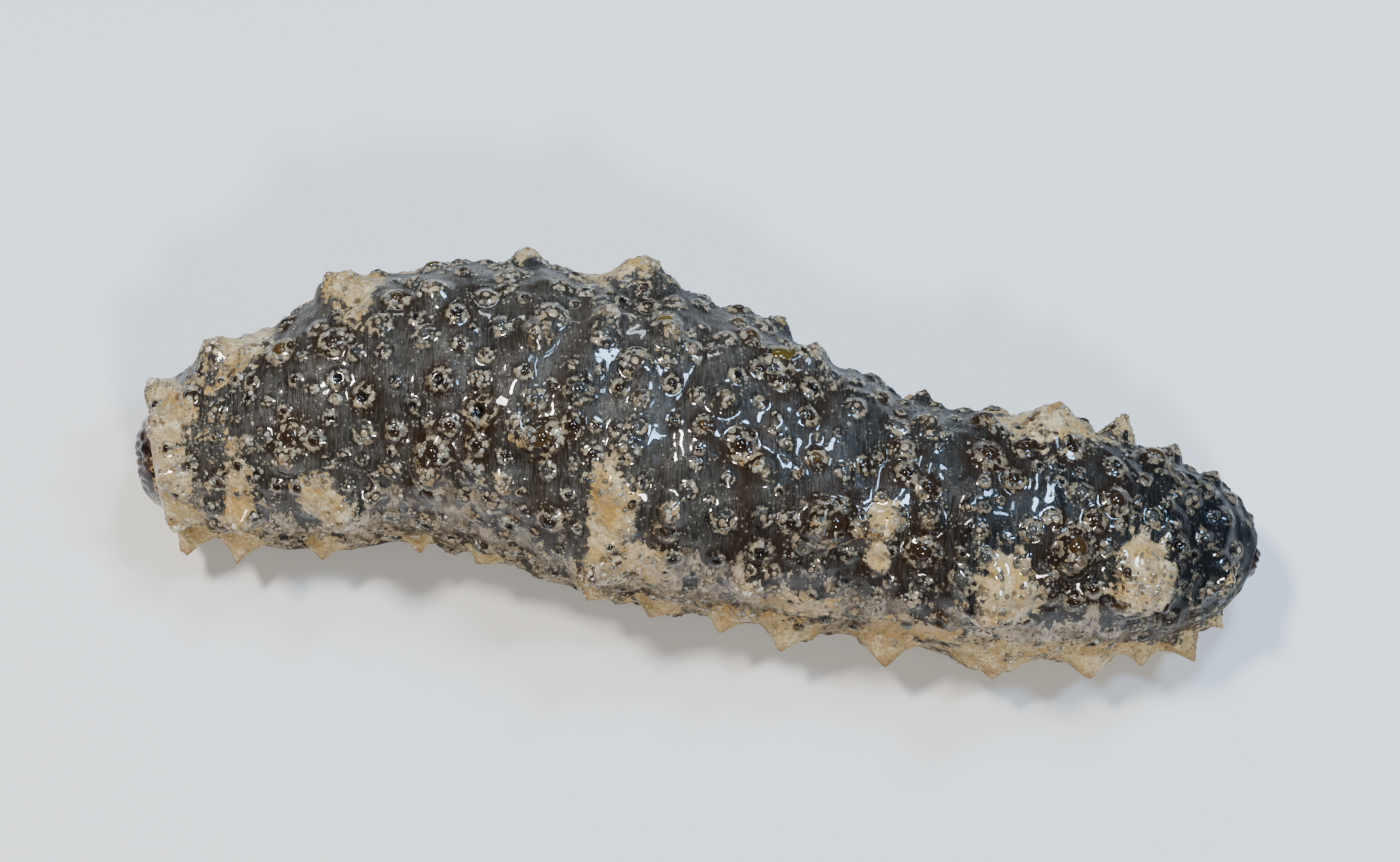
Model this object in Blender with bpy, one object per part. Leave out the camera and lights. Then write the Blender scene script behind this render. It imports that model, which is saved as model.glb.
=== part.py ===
# Sea cucumber, life size, resting on its sole: a flattened, warty body with rows of pointed papillae.
# Metres, +Z up. The mouth end points to -X, the camera's near side is -Y, and the feet stand on z = 0.

import math
import random

import bmesh
import bpy
from mathutils import Matrix, Vector

MM = 0.001

# Body form at stations along its length, in millimetres:
# x, sideways bend of the middle line, half width, height of the belly, height of the back
BODY_STATIONS = [
    (-56.0, 1.0, 5.0, 3.6, 13.2),
    (-52.8, 1.4, 6.2, 2.6, 14.4),
    (-48.3, 2.3, 8.2, 1.6, 16.6),
    (-38.5, 3.8, 10.9, 1.1, 20.6),
    (-28.8, 6.0, 12.7, 1.0, 23.2),
    (-19.1, 5.7, 13.9, 1.0, 24.6),
    (-9.4, 3.2, 14.8, 1.0, 25.2),
    (0.3, 0.5, 14.6, 1.0, 24.8),
    (10.0, -2.7, 12.9, 1.0, 23.2),
    (19.7, -5.3, 11.3, 1.0, 21.4),
    (29.4, -7.0, 11.3, 1.0, 21.0),
    (39.1, -7.7, 10.2, 1.1, 19.6),
    (45.0, -8.0, 8.9, 1.5, 17.4),
    (49.5, -8.2, 7.2, 2.3, 15.0),
    (53.0, -8.8, 4.6, 3.8, 12.4),
    (56.0, -9.8, 2.2, 5.2, 10.6),
]
WIDEST_AT = 0.42  # share of the height, from the belly up
BACK_ROUNDNESS = 2.25  # exponent of the arched back
BELLY_ROUNDNESS = 3.1  # exponent of the flattened belly
FOLD_LENGTH = 6.2 * MM  # from one ring-like fold of the skin to the next
FOLD_DEPTH = 0.016  # share of the half width

POINTS_ROUND = 24
RING_STEP = 2.5 * MM
GAP = 0.3 * MM  # between pieces that touch
CUT_OVERLAP = 0.9 * MM  # how far a length runs on past a cut before the cut is made
CUT_SOLVER = "MANIFOLD"  # the EXACT one leaves an edge of the tail open
PAST_THE_END = 9 * MM  # room for the papillae that stand out beyond the two ends
WHOLE_MIDDLE = (-0.07 * MM, 0.0)  # of the stations' frame, moved to the origin at the end

HEAD_END = -52.9 * MM
TAIL_END = 54.0 * MM
NECK_CUT = -46.8 * MM
TAIL_CUT = 45.4 * MM
BODY_LENGTHS = [
    ("body_front", NECK_CUT, -29.2 * MM),
    ("body_fore_middle", -29.2 * MM, -2.2 * MM),
    ("body_hind_middle", -2.2 * MM, 22.8 * MM),
    ("body_hind", 22.8 * MM, TAIL_CUT),
]
SOLE_LENGTHS = [
    ("sole_front", NECK_CUT, -15.0 * MM),
    ("sole_middle", -15.0 * MM, 16.0 * MM),
    ("sole_hind", 16.0 * MM, TAIL_CUT),
]
SOLE_EDGE = 128.0  # degrees from the middle of the back to where the sole begins
SOLE_POINTS = 14

# Rings that close the two ends: millimetres past the end of the body, share of the section
# and, on the mouth and the vent, depth of the puckers
LIP_RINGS = [(-0.5, 0.97), (0.0, 0.89), (-0.1, 0.80), (-1.7, 0.74)]
MOUTH_RINGS = [
    (-1.4, 0.69, 0.0),
    (0.1, 0.73, 0.0),
    (0.9, 0.65, 0.03),
    (1.7, 0.48, 0.07),
    (1.9, 0.29, 0.12),
    (1.2, 0.14, 0.10),
    (0.4, 0.07, 0.0),
]
MOUTH_FOLDS = 8
TAIL_TIP_RINGS = [(-2.0, 0.93), (-0.8, 0.80), (-0.1, 0.60), (-0.2, 0.50), (-1.6, 0.42)]
VENT_RINGS = [(-1.3, 0.36, 0.0), (0.0, 0.42, 0.05), (0.5, 0.29, 0.12), (0.4, 0.16, 0.12), (-0.4, 0.08, 0.0)]
VENT_FOLDS = 5
POINTS_PER_FOLD = 4

# Papillae: x along the body, degrees round from the middle of the back (near side positive),
# height and base radius, in millimetres
NEAR_EDGE = [
    (-49.0, 110, 2.6, 1.6),
    (-44.7, 110, 2.7, 1.9),
    (-36.4, 108, 1.8, 2.0),
    (-27.1, 106, 1.2, 1.3),
    (-20.7, 106, 1.5, 1.7),
    (-10.1, 106, 1.4, 1.6),
    (-4.1, 108, 1.3, 2.2),
    (2.7, 108, 1.8, 1.9),
    (8.8, 108, 2.7, 2.8),
    (18.4, 108, 2.8, 3.1),
    (28.6, 107, 2.7, 3.7),
    (37.7, 108, 2.6, 3.1),
    (42.7, 106, 1.7, 1.9),
    (47.0, 108, 2.8, 1.9),
    (50.2, 100, 1.7, 1.1),
]
NEAR_SHOULDER = [
    (-44.2, 66, 2.3, 2.1),
    (-33.7, 64, 2.6, 3.0),
    (-18.0, 45, 1.4, 1.9),
    (-9.6, 70, 2.8, 3.4),
    (4.9, 64, 1.7, 2.2),
    (16.6, 27, 1.4, 2.2),
    (27.4, 49, 3.0, 3.7),
    (42.0, 40, 2.4, 3.7),
    (50.0, 40, 1.2, 1.5),
]
FAR_SHOULDER = [
    (-46.2, -46, 2.6, 2.5),
    (-34.3, -50, 2.8, 3.0),
    (-25.2, -30, 1.8, 2.0),
    (-16.6, -62, 1.6, 2.2),
    (-5.4, -58, 2.8, 3.6),
    (7.8, -70, 1.5, 1.8),
    (10.6, -42, 2.0, 2.1),
    (21.8, -66, 1.4, 1.3),
    (34.2, -50, 2.6, 3.8),
    (40.4, -60, 2.6, 1.8),
    (45.6, -58, 1.7, 1.5),
    (49.6, -50, 1.2, 1.3),
]
BACK_WARTS = [
    (-38.8, 32, 1.6, 1.8),
    (-25.2, 47, 1.8, 1.8),
    (-15.7, 28, 1.5, 1.7),
    (-15.0, -12, 1.4, 1.7),
    (-8.3, -27, 1.2, 1.6),
    (-2.6, -24, 1.5, 1.6),
    (-2.4, 38, 1.6, 1.7),
    (2.5, -6, 1.4, 1.4),
    (5.8, 14, 1.5, 1.6),
    (11.5, 30, 2.0, 2.0),
    (21.4, 17, 1.5, 1.6),
    (21.9, -32, 1.4, 1.5),
    (35.0, 26, 1.9, 1.9),
]
FAR_EDGE_SHIFT = 2.4  # the hidden far edge repeats the near one, moved along by this and turned over
COLLAR_COUNT = 9
COLLAR_X = -51.4
COLLAR_SIZE = (1.7, 1.8)  # height and base radius of the papillae round the mouth
COLLAR_START = 34.0  # degrees
PAPILLA_PROFILE = [(0.30, 0.56), (0.70, 0.25), (1.0, 0.05)]  # shares of the height and base radius
PAPILLA_ROOT = 0.3 * MM  # sunk under the curved skin all round
PAPILLA_LEAN = 0.30  # outwards, as a share of its height, off the middle of the back
UPRIGHT_WITHIN = 25.0  # degrees from the middle of the back
PAPILLA_SWEEP = 0.45  # towards its own end of the body, at the ends
PAPILLA_SIDES = 6
LARGE_PAPILLA = 2.4 * MM  # base radius from which it has the next number of sides
LARGE_SIDES = 8

WART_COUNTS = {"head": 9, "body_front": 23, "body_fore_middle": 30, "body_hind_middle": 27,
               "body_hind": 25, "tail": 10}
WART_RADIUS = (0.70 * MM, 1.10 * MM)
WART_PROFILE = [(-0.6, 0.8), (0.1, 1.0), (0.85, 0.38)]  # shares of the radius
WART_SIDES = 6
WART_CLEAR = 0.7 * MM  # free skin between a wart and its neighbours
WART_SPREAD = 104.0  # warts stop at this many degrees from the middle of the back
LAST_WART = TAIL_END - 1.5 * MM
SEED = 11

FOOT_COLUMNS = [-0.62, -0.06, 0.62]  # share of the half width
FOOT_STEP = 5.4 * MM
FOOT_STAGGER = 1.8 * MM  # from one column to the next
FOOT_RADIUS = 0.62 * MM
FOOT_DISC = 0.95 * MM
FOOT_DISC_DEPTH = 0.5 * MM
FOOT_ROOT = 1.3 * MM  # sunk in the sole
FOOT_SIDES = 6

SKIN_COLOUR = (0.062, 0.060, 0.048)
SOLE_COLOUR = (0.25, 0.20, 0.15)
MOUTH_COLOUR = (0.16, 0.085, 0.065)
SKIN_ROUGHNESS = 0.35
SOLE_ROUGHNESS = 0.45
MOUTH_ROUGHNESS = 0.3
SHARP_FROM = 50.0  # degrees between faces, above which an edge stays sharp


def clear_scene():
    for obj in list(bpy.data.objects):
        bpy.data.objects.remove(obj, do_unlink=True)


def between(x, column):
    """A column of the body's stations at x, on a smooth curve through them."""
    rows = BODY_STATIONS
    xs = [row[0] * MM for row in rows]
    x = min(max(x, xs[0]), xs[-1])
    i = next((k for k in range(len(xs) - 2) if x < xs[k + 1]), len(xs) - 2)

    def slope(k):
        low = max(k - 1, 0)
        high = min(k + 1, len(rows) - 1)
        return (rows[high][column] - rows[low][column]) * MM / (xs[high] - xs[low])

    span = xs[i + 1] - xs[i]
    t = (x - xs[i]) / span
    start = rows[i][column] * MM
    end = rows[i + 1][column] * MM
    return (
        start * (2 * t**3 - 3 * t**2 + 1)
        + span * slope(i) * (t**3 - 2 * t**2 + t)
        + end * (3 * t**2 - 2 * t**3)
        + span * slope(i + 1) * (t**3 - t**2)
    )


def sideways(x):
    """The direction across the body at x, towards the far side."""
    step = 0.5 * MM
    slope = (between(x + step, 1) - between(x - step, 1)) / (2 * step)
    return Vector((-slope, 1.0, 0.0)).normalized()


def skin_point(x, angle, grow=0.0):
    """A point of the body's plain skin: x along it, degrees round from the middle of the back."""
    fold = 1 + FOLD_DEPTH * math.sin(2 * math.pi * x / FOLD_LENGTH)
    half_width = between(x, 2) * fold + grow
    belly = between(x, 3)
    back = between(x, 4)
    widest = belly + WIDEST_AT * (back - belly)
    turn = math.radians(angle)
    across = math.sin(turn)
    up = math.cos(turn)
    roundness = BACK_ROUNDNESS if up > 0 else BELLY_ROUNDNESS
    reach = (abs(across) ** roundness + abs(up) ** roundness) ** (-1 / roundness)
    rise = (back - widest) * fold if up > 0 else widest - belly
    height = widest + (rise + grow) * reach * up
    return Vector((x, between(x, 1), height)) - sideways(x) * (half_width * reach * across)


def skin_normal(x, angle):
    step = 0.4 * MM
    along = skin_point(x + step, angle) - skin_point(x - step, angle)
    around = skin_point(x, angle + 2) - skin_point(x, angle - 2)
    return around.cross(along).normalized()


def station_of(x, angle):
    """The station whose skin at this angle lies at x, since the body bends."""
    station = x
    for _ in range(6):
        station += x - skin_point(station, angle).x
        station = min(max(station, HEAD_END), TAIL_END)
    return station


def new_object(name, mesh_builder):
    mesh = bpy.data.meshes.new(name)
    bm = bmesh.new()
    mesh_builder(bm)
    bmesh.ops.recalc_face_normals(bm, faces=bm.faces)
    bm.to_mesh(mesh)
    bm.free()
    obj = bpy.data.objects.new(name, mesh)
    bpy.context.collection.objects.link(obj)
    return obj


def loft(bm, rings):
    """Closed skin over rings of points that have the same number of points each."""
    loops = []
    for ring in rings:
        loops.append([bm.verts.new(point) for point in ring])
    count = len(loops[0])
    for low, high in zip(loops, loops[1:]):
        for i in range(count):
            j = (i + 1) % count
            bm.faces.new((low[i], low[j], high[j], high[i]))
    bm.faces.new(loops[0])
    bm.faces.new(loops[-1])


def body_ring(x, share=1.0, count=POINTS_ROUND, pucker=0.0, folds=0):
    """A whole cross-section of the body at x, scaled about its middle by share."""
    middle = ring_middle(x)
    ring = []
    for i in range(count):
        angle = 360.0 * i / count
        local = share * (1 + pucker * math.cos(math.radians(angle) * folds))
        ring.append(middle + (skin_point(x, angle) - middle) * local)
    return ring


def ring_middle(x):
    belly = between(x, 3)
    back = between(x, 4)
    return Vector((x, between(x, 1), (belly + back) / 2))


def stations_from(start, end):
    steps = max(2, round(abs(end - start) / RING_STEP))
    return [start + (end - start) * i / steps for i in range(steps + 1)]


def sole_ring(x, grow=0.0):
    """The flattened underside at x: its skin from edge to edge, closed by a level top."""
    ring = []
    for i in range(SOLE_POINTS + 1):
        angle = SOLE_EDGE + (360 - 2 * SOLE_EDGE) * i / SOLE_POINTS
        ring.append(skin_point(x, angle, grow))
    for point in (ring[0], ring[-1]):
        point.z += grow
    return ring


def turned(name, place, axis, profile, sides):
    """A closed turned form, its profile given as (height along the axis, radius) from the root up."""

    def build(bm):
        rings = []
        for height, radius in profile:
            rings.append([
                Vector((radius * math.cos(2 * math.pi * k / sides),
                        radius * math.sin(2 * math.pi * k / sides), height))
                for k in range(sides)
            ])
        loft(bm, rings)
        turn = Vector((0, 0, 1)).rotation_difference(axis).to_matrix().to_4x4()
        bmesh.ops.transform(bm, matrix=Matrix.Translation(place) @ turn, verts=bm.verts)

    return new_object(name, build)


def papilla(station, angle, height, radius, index):
    """A pointed, wide-footed papilla that leans outwards and towards its end of the body."""
    outward = sideways(station) * (-1 if angle > 0 else 1)
    lean = PAPILLA_LEAN if abs(angle) > UPRIGHT_WITHIN else 0.0
    along = Vector((1, 0, 0)) * PAPILLA_SWEEP * (station / TAIL_END) ** 3
    axis = (skin_normal(station, angle) + outward * lean + along).normalized()
    curve_drop = radius**2 / (2 * between(station, 2))
    profile = [(-curve_drop - PAPILLA_ROOT, radius)]
    for height_share, radius_share in PAPILLA_PROFILE:
        profile.append((height_share * height, radius_share * radius))
    sides = LARGE_SIDES if radius > LARGE_PAPILLA else PAPILLA_SIDES
    return turned(f"papilla_{index}", skin_point(station, angle), axis, profile, sides)


def wart(station, angle, radius, index):
    """A low rounded wart."""
    profile = [(up * radius, out * radius) for up, out in WART_PROFILE]
    return turned(f"wart_{index}", skin_point(station, angle), skin_normal(station, angle), profile, WART_SIDES)


def papilla_table():
    """Every papilla as station, degrees, height and base radius, in metres and degrees."""
    far_edge = [(x + FAR_EDGE_SHIFT, -angle, height, radius) for x, angle, height, radius in NEAR_EDGE[:-2]]
    rows = NEAR_EDGE + NEAR_SHOULDER + FAR_SHOULDER + BACK_WARTS + far_edge
    table = []
    for x, angle, height, radius in rows:
        table.append((station_of(x * MM, angle), angle, height * MM, radius * MM))
    height, radius = COLLAR_SIZE
    for k in range(COLLAR_COUNT):
        angle = (COLLAR_START + 360.0 * k / COLLAR_COUNT + 180) % 360 - 180
        table.append((COLLAR_X * MM, angle, height * MM, radius * MM))
    return table


def scatter_warts(start, end, wanted, taken, rng):
    """Warts spread evenly over a length of the body, clear of the papillae and of each other."""
    found = []
    for _ in range(wanted * 60):
        if len(found) == wanted:
            break
        station = rng.uniform(start, end)
        angle = rng.uniform(-WART_SPREAD, WART_SPREAD)
        radius = rng.uniform(*WART_RADIUS)
        place = skin_point(station, angle)
        room = min(station - start, end - station) - radius
        if room < GAP:
            continue
        if all((place - other).length > radius + size + WART_CLEAR for other, size in taken):
            found.append((station, angle, radius))
            taken.append((place, radius))
    return found


def boolean(obj, operation, target, operand="OBJECT"):
    modifier = obj.modifiers.new(operation.lower(), "BOOLEAN")
    modifier.operation = operation
    if operation != "UNION":
        modifier.solver = CUT_SOLVER
    modifier.operand_type = operand
    if operand == "OBJECT":
        modifier.object = target
    else:
        modifier.collection = target
    apply_modifiers(obj)


def apply_modifiers(obj):
    graph = bpy.context.evaluated_depsgraph_get()
    mesh = bpy.data.meshes.new_from_object(obj.evaluated_get(graph))
    obj.modifiers.clear()
    old = obj.data
    obj.data = mesh
    bpy.data.meshes.remove(old)


def keep_largest(obj):
    """Drops any scrap or sealed hollow that the joins and cuts have left."""
    bm = bmesh.new()
    bm.from_mesh(obj.data)
    bmesh.ops.triangulate(bm, faces=bm.faces)
    left = set(bm.faces)
    shells = []
    while left:
        waiting = [left.pop()]
        shell = []
        while waiting:
            face = waiting.pop()
            shell.append(face)
            for edge in face.edges:
                for other in edge.link_faces:
                    if other in left:
                        left.remove(other)
                        waiting.append(other)
        shells.append(shell)
    shells.sort(key=lambda shell: sum(face.calc_area() for face in shell))
    for shell in shells[:-1]:
        bmesh.ops.delete(bm, geom=shell, context="FACES")
    bm.to_mesh(obj.data)
    bm.free()


def join_all(obj, pieces):
    """Fuses the pieces into the object in one union."""
    group = bpy.data.collections.new("pieces")
    bpy.context.scene.collection.children.link(group)
    for piece in pieces:
        bpy.context.collection.objects.unlink(piece)
        group.objects.link(piece)
    boolean(obj, "UNION", group, "COLLECTION")
    for piece in pieces:
        bpy.data.objects.remove(piece, do_unlink=True)
    bpy.data.collections.remove(group)


def slab(start, end):
    """A block between two planes across the body, to part one length from the next."""
    reach = TAIL_END

    def build(bm):
        rings = []
        for x in (start, end):
            middle = Vector((x, between(x, 1), 0))
            across = sideways(x) * reach
            rings.append([
                middle - across - Vector((0, 0, reach)),
                middle + across - Vector((0, 0, reach)),
                middle + across + Vector((0, 0, reach)),
                middle - across + Vector((0, 0, reach)),
            ])
        loft(bm, rings)

    return new_object("slab", build)


def finish(obj, colour, roughness):
    keep_largest(obj)
    obj.data.shade_smooth()
    obj.data.set_sharp_from_angle(angle=math.radians(SHARP_FROM))
    obj.location = (-WHOLE_MIDDLE[0], -WHOLE_MIDDLE[1], 0)
    material = bpy.data.materials.new(obj.name)
    material.use_nodes = True
    shader = material.node_tree.nodes["Principled BSDF"]
    shader.inputs["Base Color"].default_value = (*colour, 1)
    shader.inputs["Roughness"].default_value = roughness
    shader.inputs["Metallic"].default_value = 0.0
    obj.data.materials.clear()
    obj.data.materials.append(material)
    return obj


def growths(start, end, papillae, warts):
    """The papillae and warts that touch a length of the body, as closed pieces."""
    pieces = []
    for station, angle, height, radius in papillae:
        if start - radius < station < end + radius:
            pieces.append(papilla(station, angle, height, radius, len(pieces)))
    for station, angle, radius in warts:
        pieces.append(wart(station, angle, radius, len(pieces)))
    return pieces


def head_rings():
    """From the neck cut forwards, over the lip and into the hollow that holds the mouth."""
    first, *_ = LIP_RINGS
    straight = stations_from(NECK_CUT + CUT_OVERLAP, HEAD_END - first[0] * MM + CUT_OVERLAP)
    rings = [body_ring(x) for x in straight]
    for past, share in LIP_RINGS:
        rings.append(body_ring(HEAD_END - past * MM, share))
    return rings


def tail_rings():
    """From the tail cut backwards, over the rounded tip and into the hollow that holds the vent."""
    first, *_ = TAIL_TIP_RINGS
    straight = stations_from(TAIL_CUT - CUT_OVERLAP, TAIL_END + first[0] * MM - CUT_OVERLAP)
    rings = [body_ring(x) for x in straight]
    for past, share in TAIL_TIP_RINGS:
        rings.append(body_ring(TAIL_END + past * MM, share))
    return rings


def puckered_rings(end, outwards, steps, folds):
    """A domed disc at one end of the body, its rim folded like a drawn purse round a small pit."""
    count = folds * POINTS_PER_FOLD
    return [body_ring(end + outwards * past * MM, share, count, pucker, folds) for past, share, pucker in steps]


def tube_feet(start, end):
    """Sucker feet in three bands, each sunk in the sole and ending in a flat disc on the floor."""
    feet = []
    first = start + 2 * FOOT_DISC
    last = end - FOOT_DISC - GAP
    for column, share in enumerate(FOOT_COLUMNS):
        x = first + FOOT_STAGGER * column
        while x < last:
            place = Vector((x, between(x, 1), 0)) + sideways(x) * between(x, 2) * share
            profile = [(0.0, FOOT_DISC), (FOOT_DISC_DEPTH, FOOT_RADIUS), (between(x, 3) + FOOT_ROOT, FOOT_RADIUS)]
            feet.append(turned(f"foot_{len(feet)}", place, Vector((0, 0, 1)), profile, FOOT_SIDES))
            x += FOOT_STEP
    return feet


def build_flesh(name, rings, start, end, papillae, warts, cutter, parted):
    """One length of the body: its skin with its growths, parted from its neighbours by thin cuts."""
    obj = new_object(name, lambda bm: loft(bm, rings))
    join_all(obj, growths(start, end, papillae, warts))
    low, high = parted
    block = slab(low, high)
    boolean(obj, "INTERSECT", block)
    bpy.data.objects.remove(block, do_unlink=True)
    boolean(obj, "DIFFERENCE", cutter)
    return finish(obj, SKIN_COLOUR, SKIN_ROUGHNESS)


def build_sole(name, start, end):
    stations = stations_from(start + GAP / 2, end - GAP / 2)
    obj = new_object(name, lambda bm: loft(bm, [sole_ring(x) for x in stations]))
    join_all(obj, tube_feet(start, end))
    return finish(obj, SOLE_COLOUR, SOLE_ROUGHNESS)


def main():
    clear_scene()
    rng = random.Random(SEED)
    papillae = papilla_table()
    taken = [(skin_point(station, angle), radius) for station, angle, _, radius in papillae]
    lengths = [("head", HEAD_END, NECK_CUT)] + BODY_LENGTHS + [("tail", TAIL_CUT, LAST_WART)]
    cutter_stations = stations_from(NECK_CUT - GAP / 2, TAIL_CUT + GAP / 2)
    cutter = new_object("sole_room", lambda bm: loft(bm, [sole_ring(x, GAP) for x in cutter_stations]))
    cutter.hide_render = True
    cutter.display_type = "WIRE"
    for name, start, end in lengths:
        warts = scatter_warts(start, end, WART_COUNTS[name], taken, rng)
        low = start + GAP / 2
        high = end - GAP / 2
        if name == "head":
            rings = head_rings()
            low = start - PAST_THE_END
        elif name == "tail":
            rings = tail_rings()
            high = end + PAST_THE_END
        else:
            rings = [body_ring(x) for x in stations_from(start - CUT_OVERLAP, end + CUT_OVERLAP)]
        build_flesh(name, rings, start, end, papillae, warts, cutter, (low, high))
    bpy.data.objects.remove(cutter, do_unlink=True)
    for name, start, end in SOLE_LENGTHS:
        build_sole(name, start, end)
    mouth_rings = puckered_rings(HEAD_END, -1, MOUTH_RINGS, MOUTH_FOLDS)
    finish(new_object("mouth", lambda bm: loft(bm, mouth_rings)), MOUTH_COLOUR, MOUTH_ROUGHNESS)
    vent_rings = puckered_rings(TAIL_END, 1, VENT_RINGS, VENT_FOLDS)
    finish(new_object("vent", lambda bm: loft(bm, vent_rings)), MOUTH_COLOUR, MOUTH_ROUGHNESS)


main()
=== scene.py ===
# Sea cucumber at life size, wet, resting on its feet on a pale floor.
# The mouth end points to -X, the back to +Z, and the camera's near side is -Y. All sizes in metres.

import math
import random

import bmesh
import bpy
import numpy as np
from mathutils import Matrix, Vector, noise
from mathutils.bvhtree import BVHTree


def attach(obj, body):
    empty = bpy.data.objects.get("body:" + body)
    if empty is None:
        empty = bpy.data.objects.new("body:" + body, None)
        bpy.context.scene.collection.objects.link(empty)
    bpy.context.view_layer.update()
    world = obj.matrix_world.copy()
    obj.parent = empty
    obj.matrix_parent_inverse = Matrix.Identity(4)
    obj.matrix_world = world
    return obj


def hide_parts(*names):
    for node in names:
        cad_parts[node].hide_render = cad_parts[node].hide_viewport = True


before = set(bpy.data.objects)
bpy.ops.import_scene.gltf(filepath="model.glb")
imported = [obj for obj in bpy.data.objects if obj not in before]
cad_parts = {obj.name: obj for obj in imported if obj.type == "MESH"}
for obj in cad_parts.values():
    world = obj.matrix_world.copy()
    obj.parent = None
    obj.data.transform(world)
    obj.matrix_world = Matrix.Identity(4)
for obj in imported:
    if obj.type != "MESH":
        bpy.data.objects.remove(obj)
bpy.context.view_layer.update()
mm = 0.001

body = {
    # x, sideways bend of the middle line, half width, height of the belly, height of the back, in mm
    "stations": [
        (-56.0, 1.0, 5.0, 3.6, 13.2), (-52.8, 1.4, 6.2, 2.6, 14.4), (-48.3, 2.3, 8.2, 1.6, 16.6),
        (-38.5, 3.8, 10.9, 1.1, 20.6), (-28.8, 6.0, 12.7, 1.0, 23.2), (-19.1, 5.7, 13.9, 1.0, 24.6),
        (-9.4, 3.2, 14.8, 1.0, 25.2), (0.3, 0.5, 14.6, 1.0, 24.8), (10.0, -2.7, 12.9, 1.0, 23.2),
        (19.7, -5.3, 11.3, 1.0, 21.4), (29.4, -7.0, 11.3, 1.0, 21.0), (39.1, -7.7, 10.2, 1.1, 19.6),
        (45.0, -8.0, 8.9, 1.5, 17.4), (49.5, -8.2, 7.2, 2.3, 15.0), (53.0, -8.8, 4.6, 3.8, 12.4),
        (56.0, -9.8, 2.2, 5.2, 10.6),
    ],
    "widestAt": 0.42,  # share of the height, from the belly up
    "backRoundness": 2.25,
    "bellyRoundness": 3.1,
    "foldLength": 6.2 * mm,
    "foldDepth": 0.016,
    "headEnd": -52.9 * mm,
    "tailEnd": 54.0 * mm,
    "wholeMiddle": (-0.07 * mm, 0.0),  # lies at the origin
    "soleEdge": 128.0,  # degrees from the middle of the back
}
stationTable = np.array(body["stations"]) * mm


def alongBody(x, column):
    # a column of the stations at x, on a smooth curve through them
    xs = stationTable[:, 0]
    values = stationTable[:, column]
    slopes = np.gradient(values, xs)
    slopes[1:-1] = (values[2:] - values[:-2]) / (xs[2:] - xs[:-2])
    x = np.clip(x, xs[0], xs[-1])
    i = np.clip(np.searchsorted(xs, x, side="right") - 1, 0, len(xs) - 2)
    span = xs[i + 1] - xs[i]
    t = (x - xs[i]) / span
    return (
        values[i] * (2 * t**3 - 3 * t**2 + 1)
        + span * slopes[i] * (t**3 - 2 * t**2 + t)
        + values[i + 1] * (3 * t**2 - 2 * t**3)
        + span * slopes[i + 1] * (t**3 - t**2)
    )


def unit(vectors):
    return vectors / np.maximum(np.linalg.norm(vectors, axis=-1, keepdims=True), 1e-12)


def sideways(x):
    # across the body at x, towards the far side
    step = 0.5 * mm
    slope = (alongBody(x + step, 1) - alongBody(x - step, 1)) / (2 * step)
    return unit(np.stack([-slope, np.ones_like(slope), np.zeros_like(slope)], axis=-1))


def plainSkin(x, angle, share=1.0):
    # the smooth body: x along it, degrees round from the middle of the back, share of the section
    x, angle, share = np.broadcast_arrays(np.asarray(x, float), np.asarray(angle, float), share)
    fold = 1 + body["foldDepth"] * np.sin(2 * math.pi * x / body["foldLength"])
    belly = alongBody(x, 3)
    back = alongBody(x, 4)
    widest = belly + body["widestAt"] * (back - belly)
    across = np.sin(np.radians(angle))
    up = np.cos(np.radians(angle))
    power = np.where(up > 0, body["backRoundness"], body["bellyRoundness"])
    reach = (np.abs(across) ** power + np.abs(up) ** power) ** (-1 / power)
    rise = np.where(up > 0, (back - widest) * fold, widest - belly)
    middle = np.stack([x, alongBody(x, 1), (belly + back) / 2], axis=-1)
    point = np.stack([x, alongBody(x, 1), widest + rise * reach * up], axis=-1)
    point = point - sideways(x) * (alongBody(x, 2) * fold * reach * across)[..., None]
    point = middle + (point - middle) * share[..., None]
    return point - np.array([*body["wholeMiddle"], 0.0])


def plainNormal(x, angle):
    step = 0.4 * mm
    along = plainSkin(x + step, angle) - plainSkin(x - step, angle)
    around = plainSkin(x, angle + 2.0) - plainSkin(x, angle - 2.0)
    return unit(np.cross(around, along))


def stationOf(x, angle):
    # the station whose skin at this angle lies at x, since the body bends
    station = x
    for _ in range(6):
        station += x - plainSkin(station, angle)[0] - body["wholeMiddle"][0]
        station = min(max(station, body["headEnd"]), body["tailEnd"])
    return station


def smoothStep(low, high, value):
    t = np.clip((value - low) / (high - low), 0, 1)
    return t * t * (3 - 2 * t)


zones = {
    # along the body: where each begins, and where it is full
    "head": (-37 * mm, -47 * mm),
    "headDust": (-36 * mm, -48 * mm),
    "hind": (-12 * mm, 36 * mm),
    "hindFlank": (-12 * mm, 4 * mm),
    "tail": (36 * mm, 50 * mm),
    "bareTail": (43 * mm, 49 * mm),
    "dryTail": (50 * mm, 53 * mm),
    # round the body, in degrees from the middle of the back
    "back": (132, 114),
    "upperBack": (112, 80),
    "far": (-40, -75),
    "farDust": (-50, -80),
    "farFlank": (-70, -98),
    "nearFlank": (42, 78),
    "bareBack": (80, 40),
    "nearWet": (92, 60),
    "farWet": (-66, -32),
    # from the middle of an end outwards, in shares of the section
    "headRim": (0.80, 0.97),
    "tailRim": (0.55, 0.72),
}


def within(zone, value):
    return smoothStep(*zones[zone], value)


def noiseAt(points, size, seed):
    # smooth noise from -1 to 1, in lumps of about this size
    shift = Vector((7.3, 3.1, 5.7)) * seed
    return np.array([noise.noise(Vector(p) + shift) for p in (points / size).tolist()])


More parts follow.
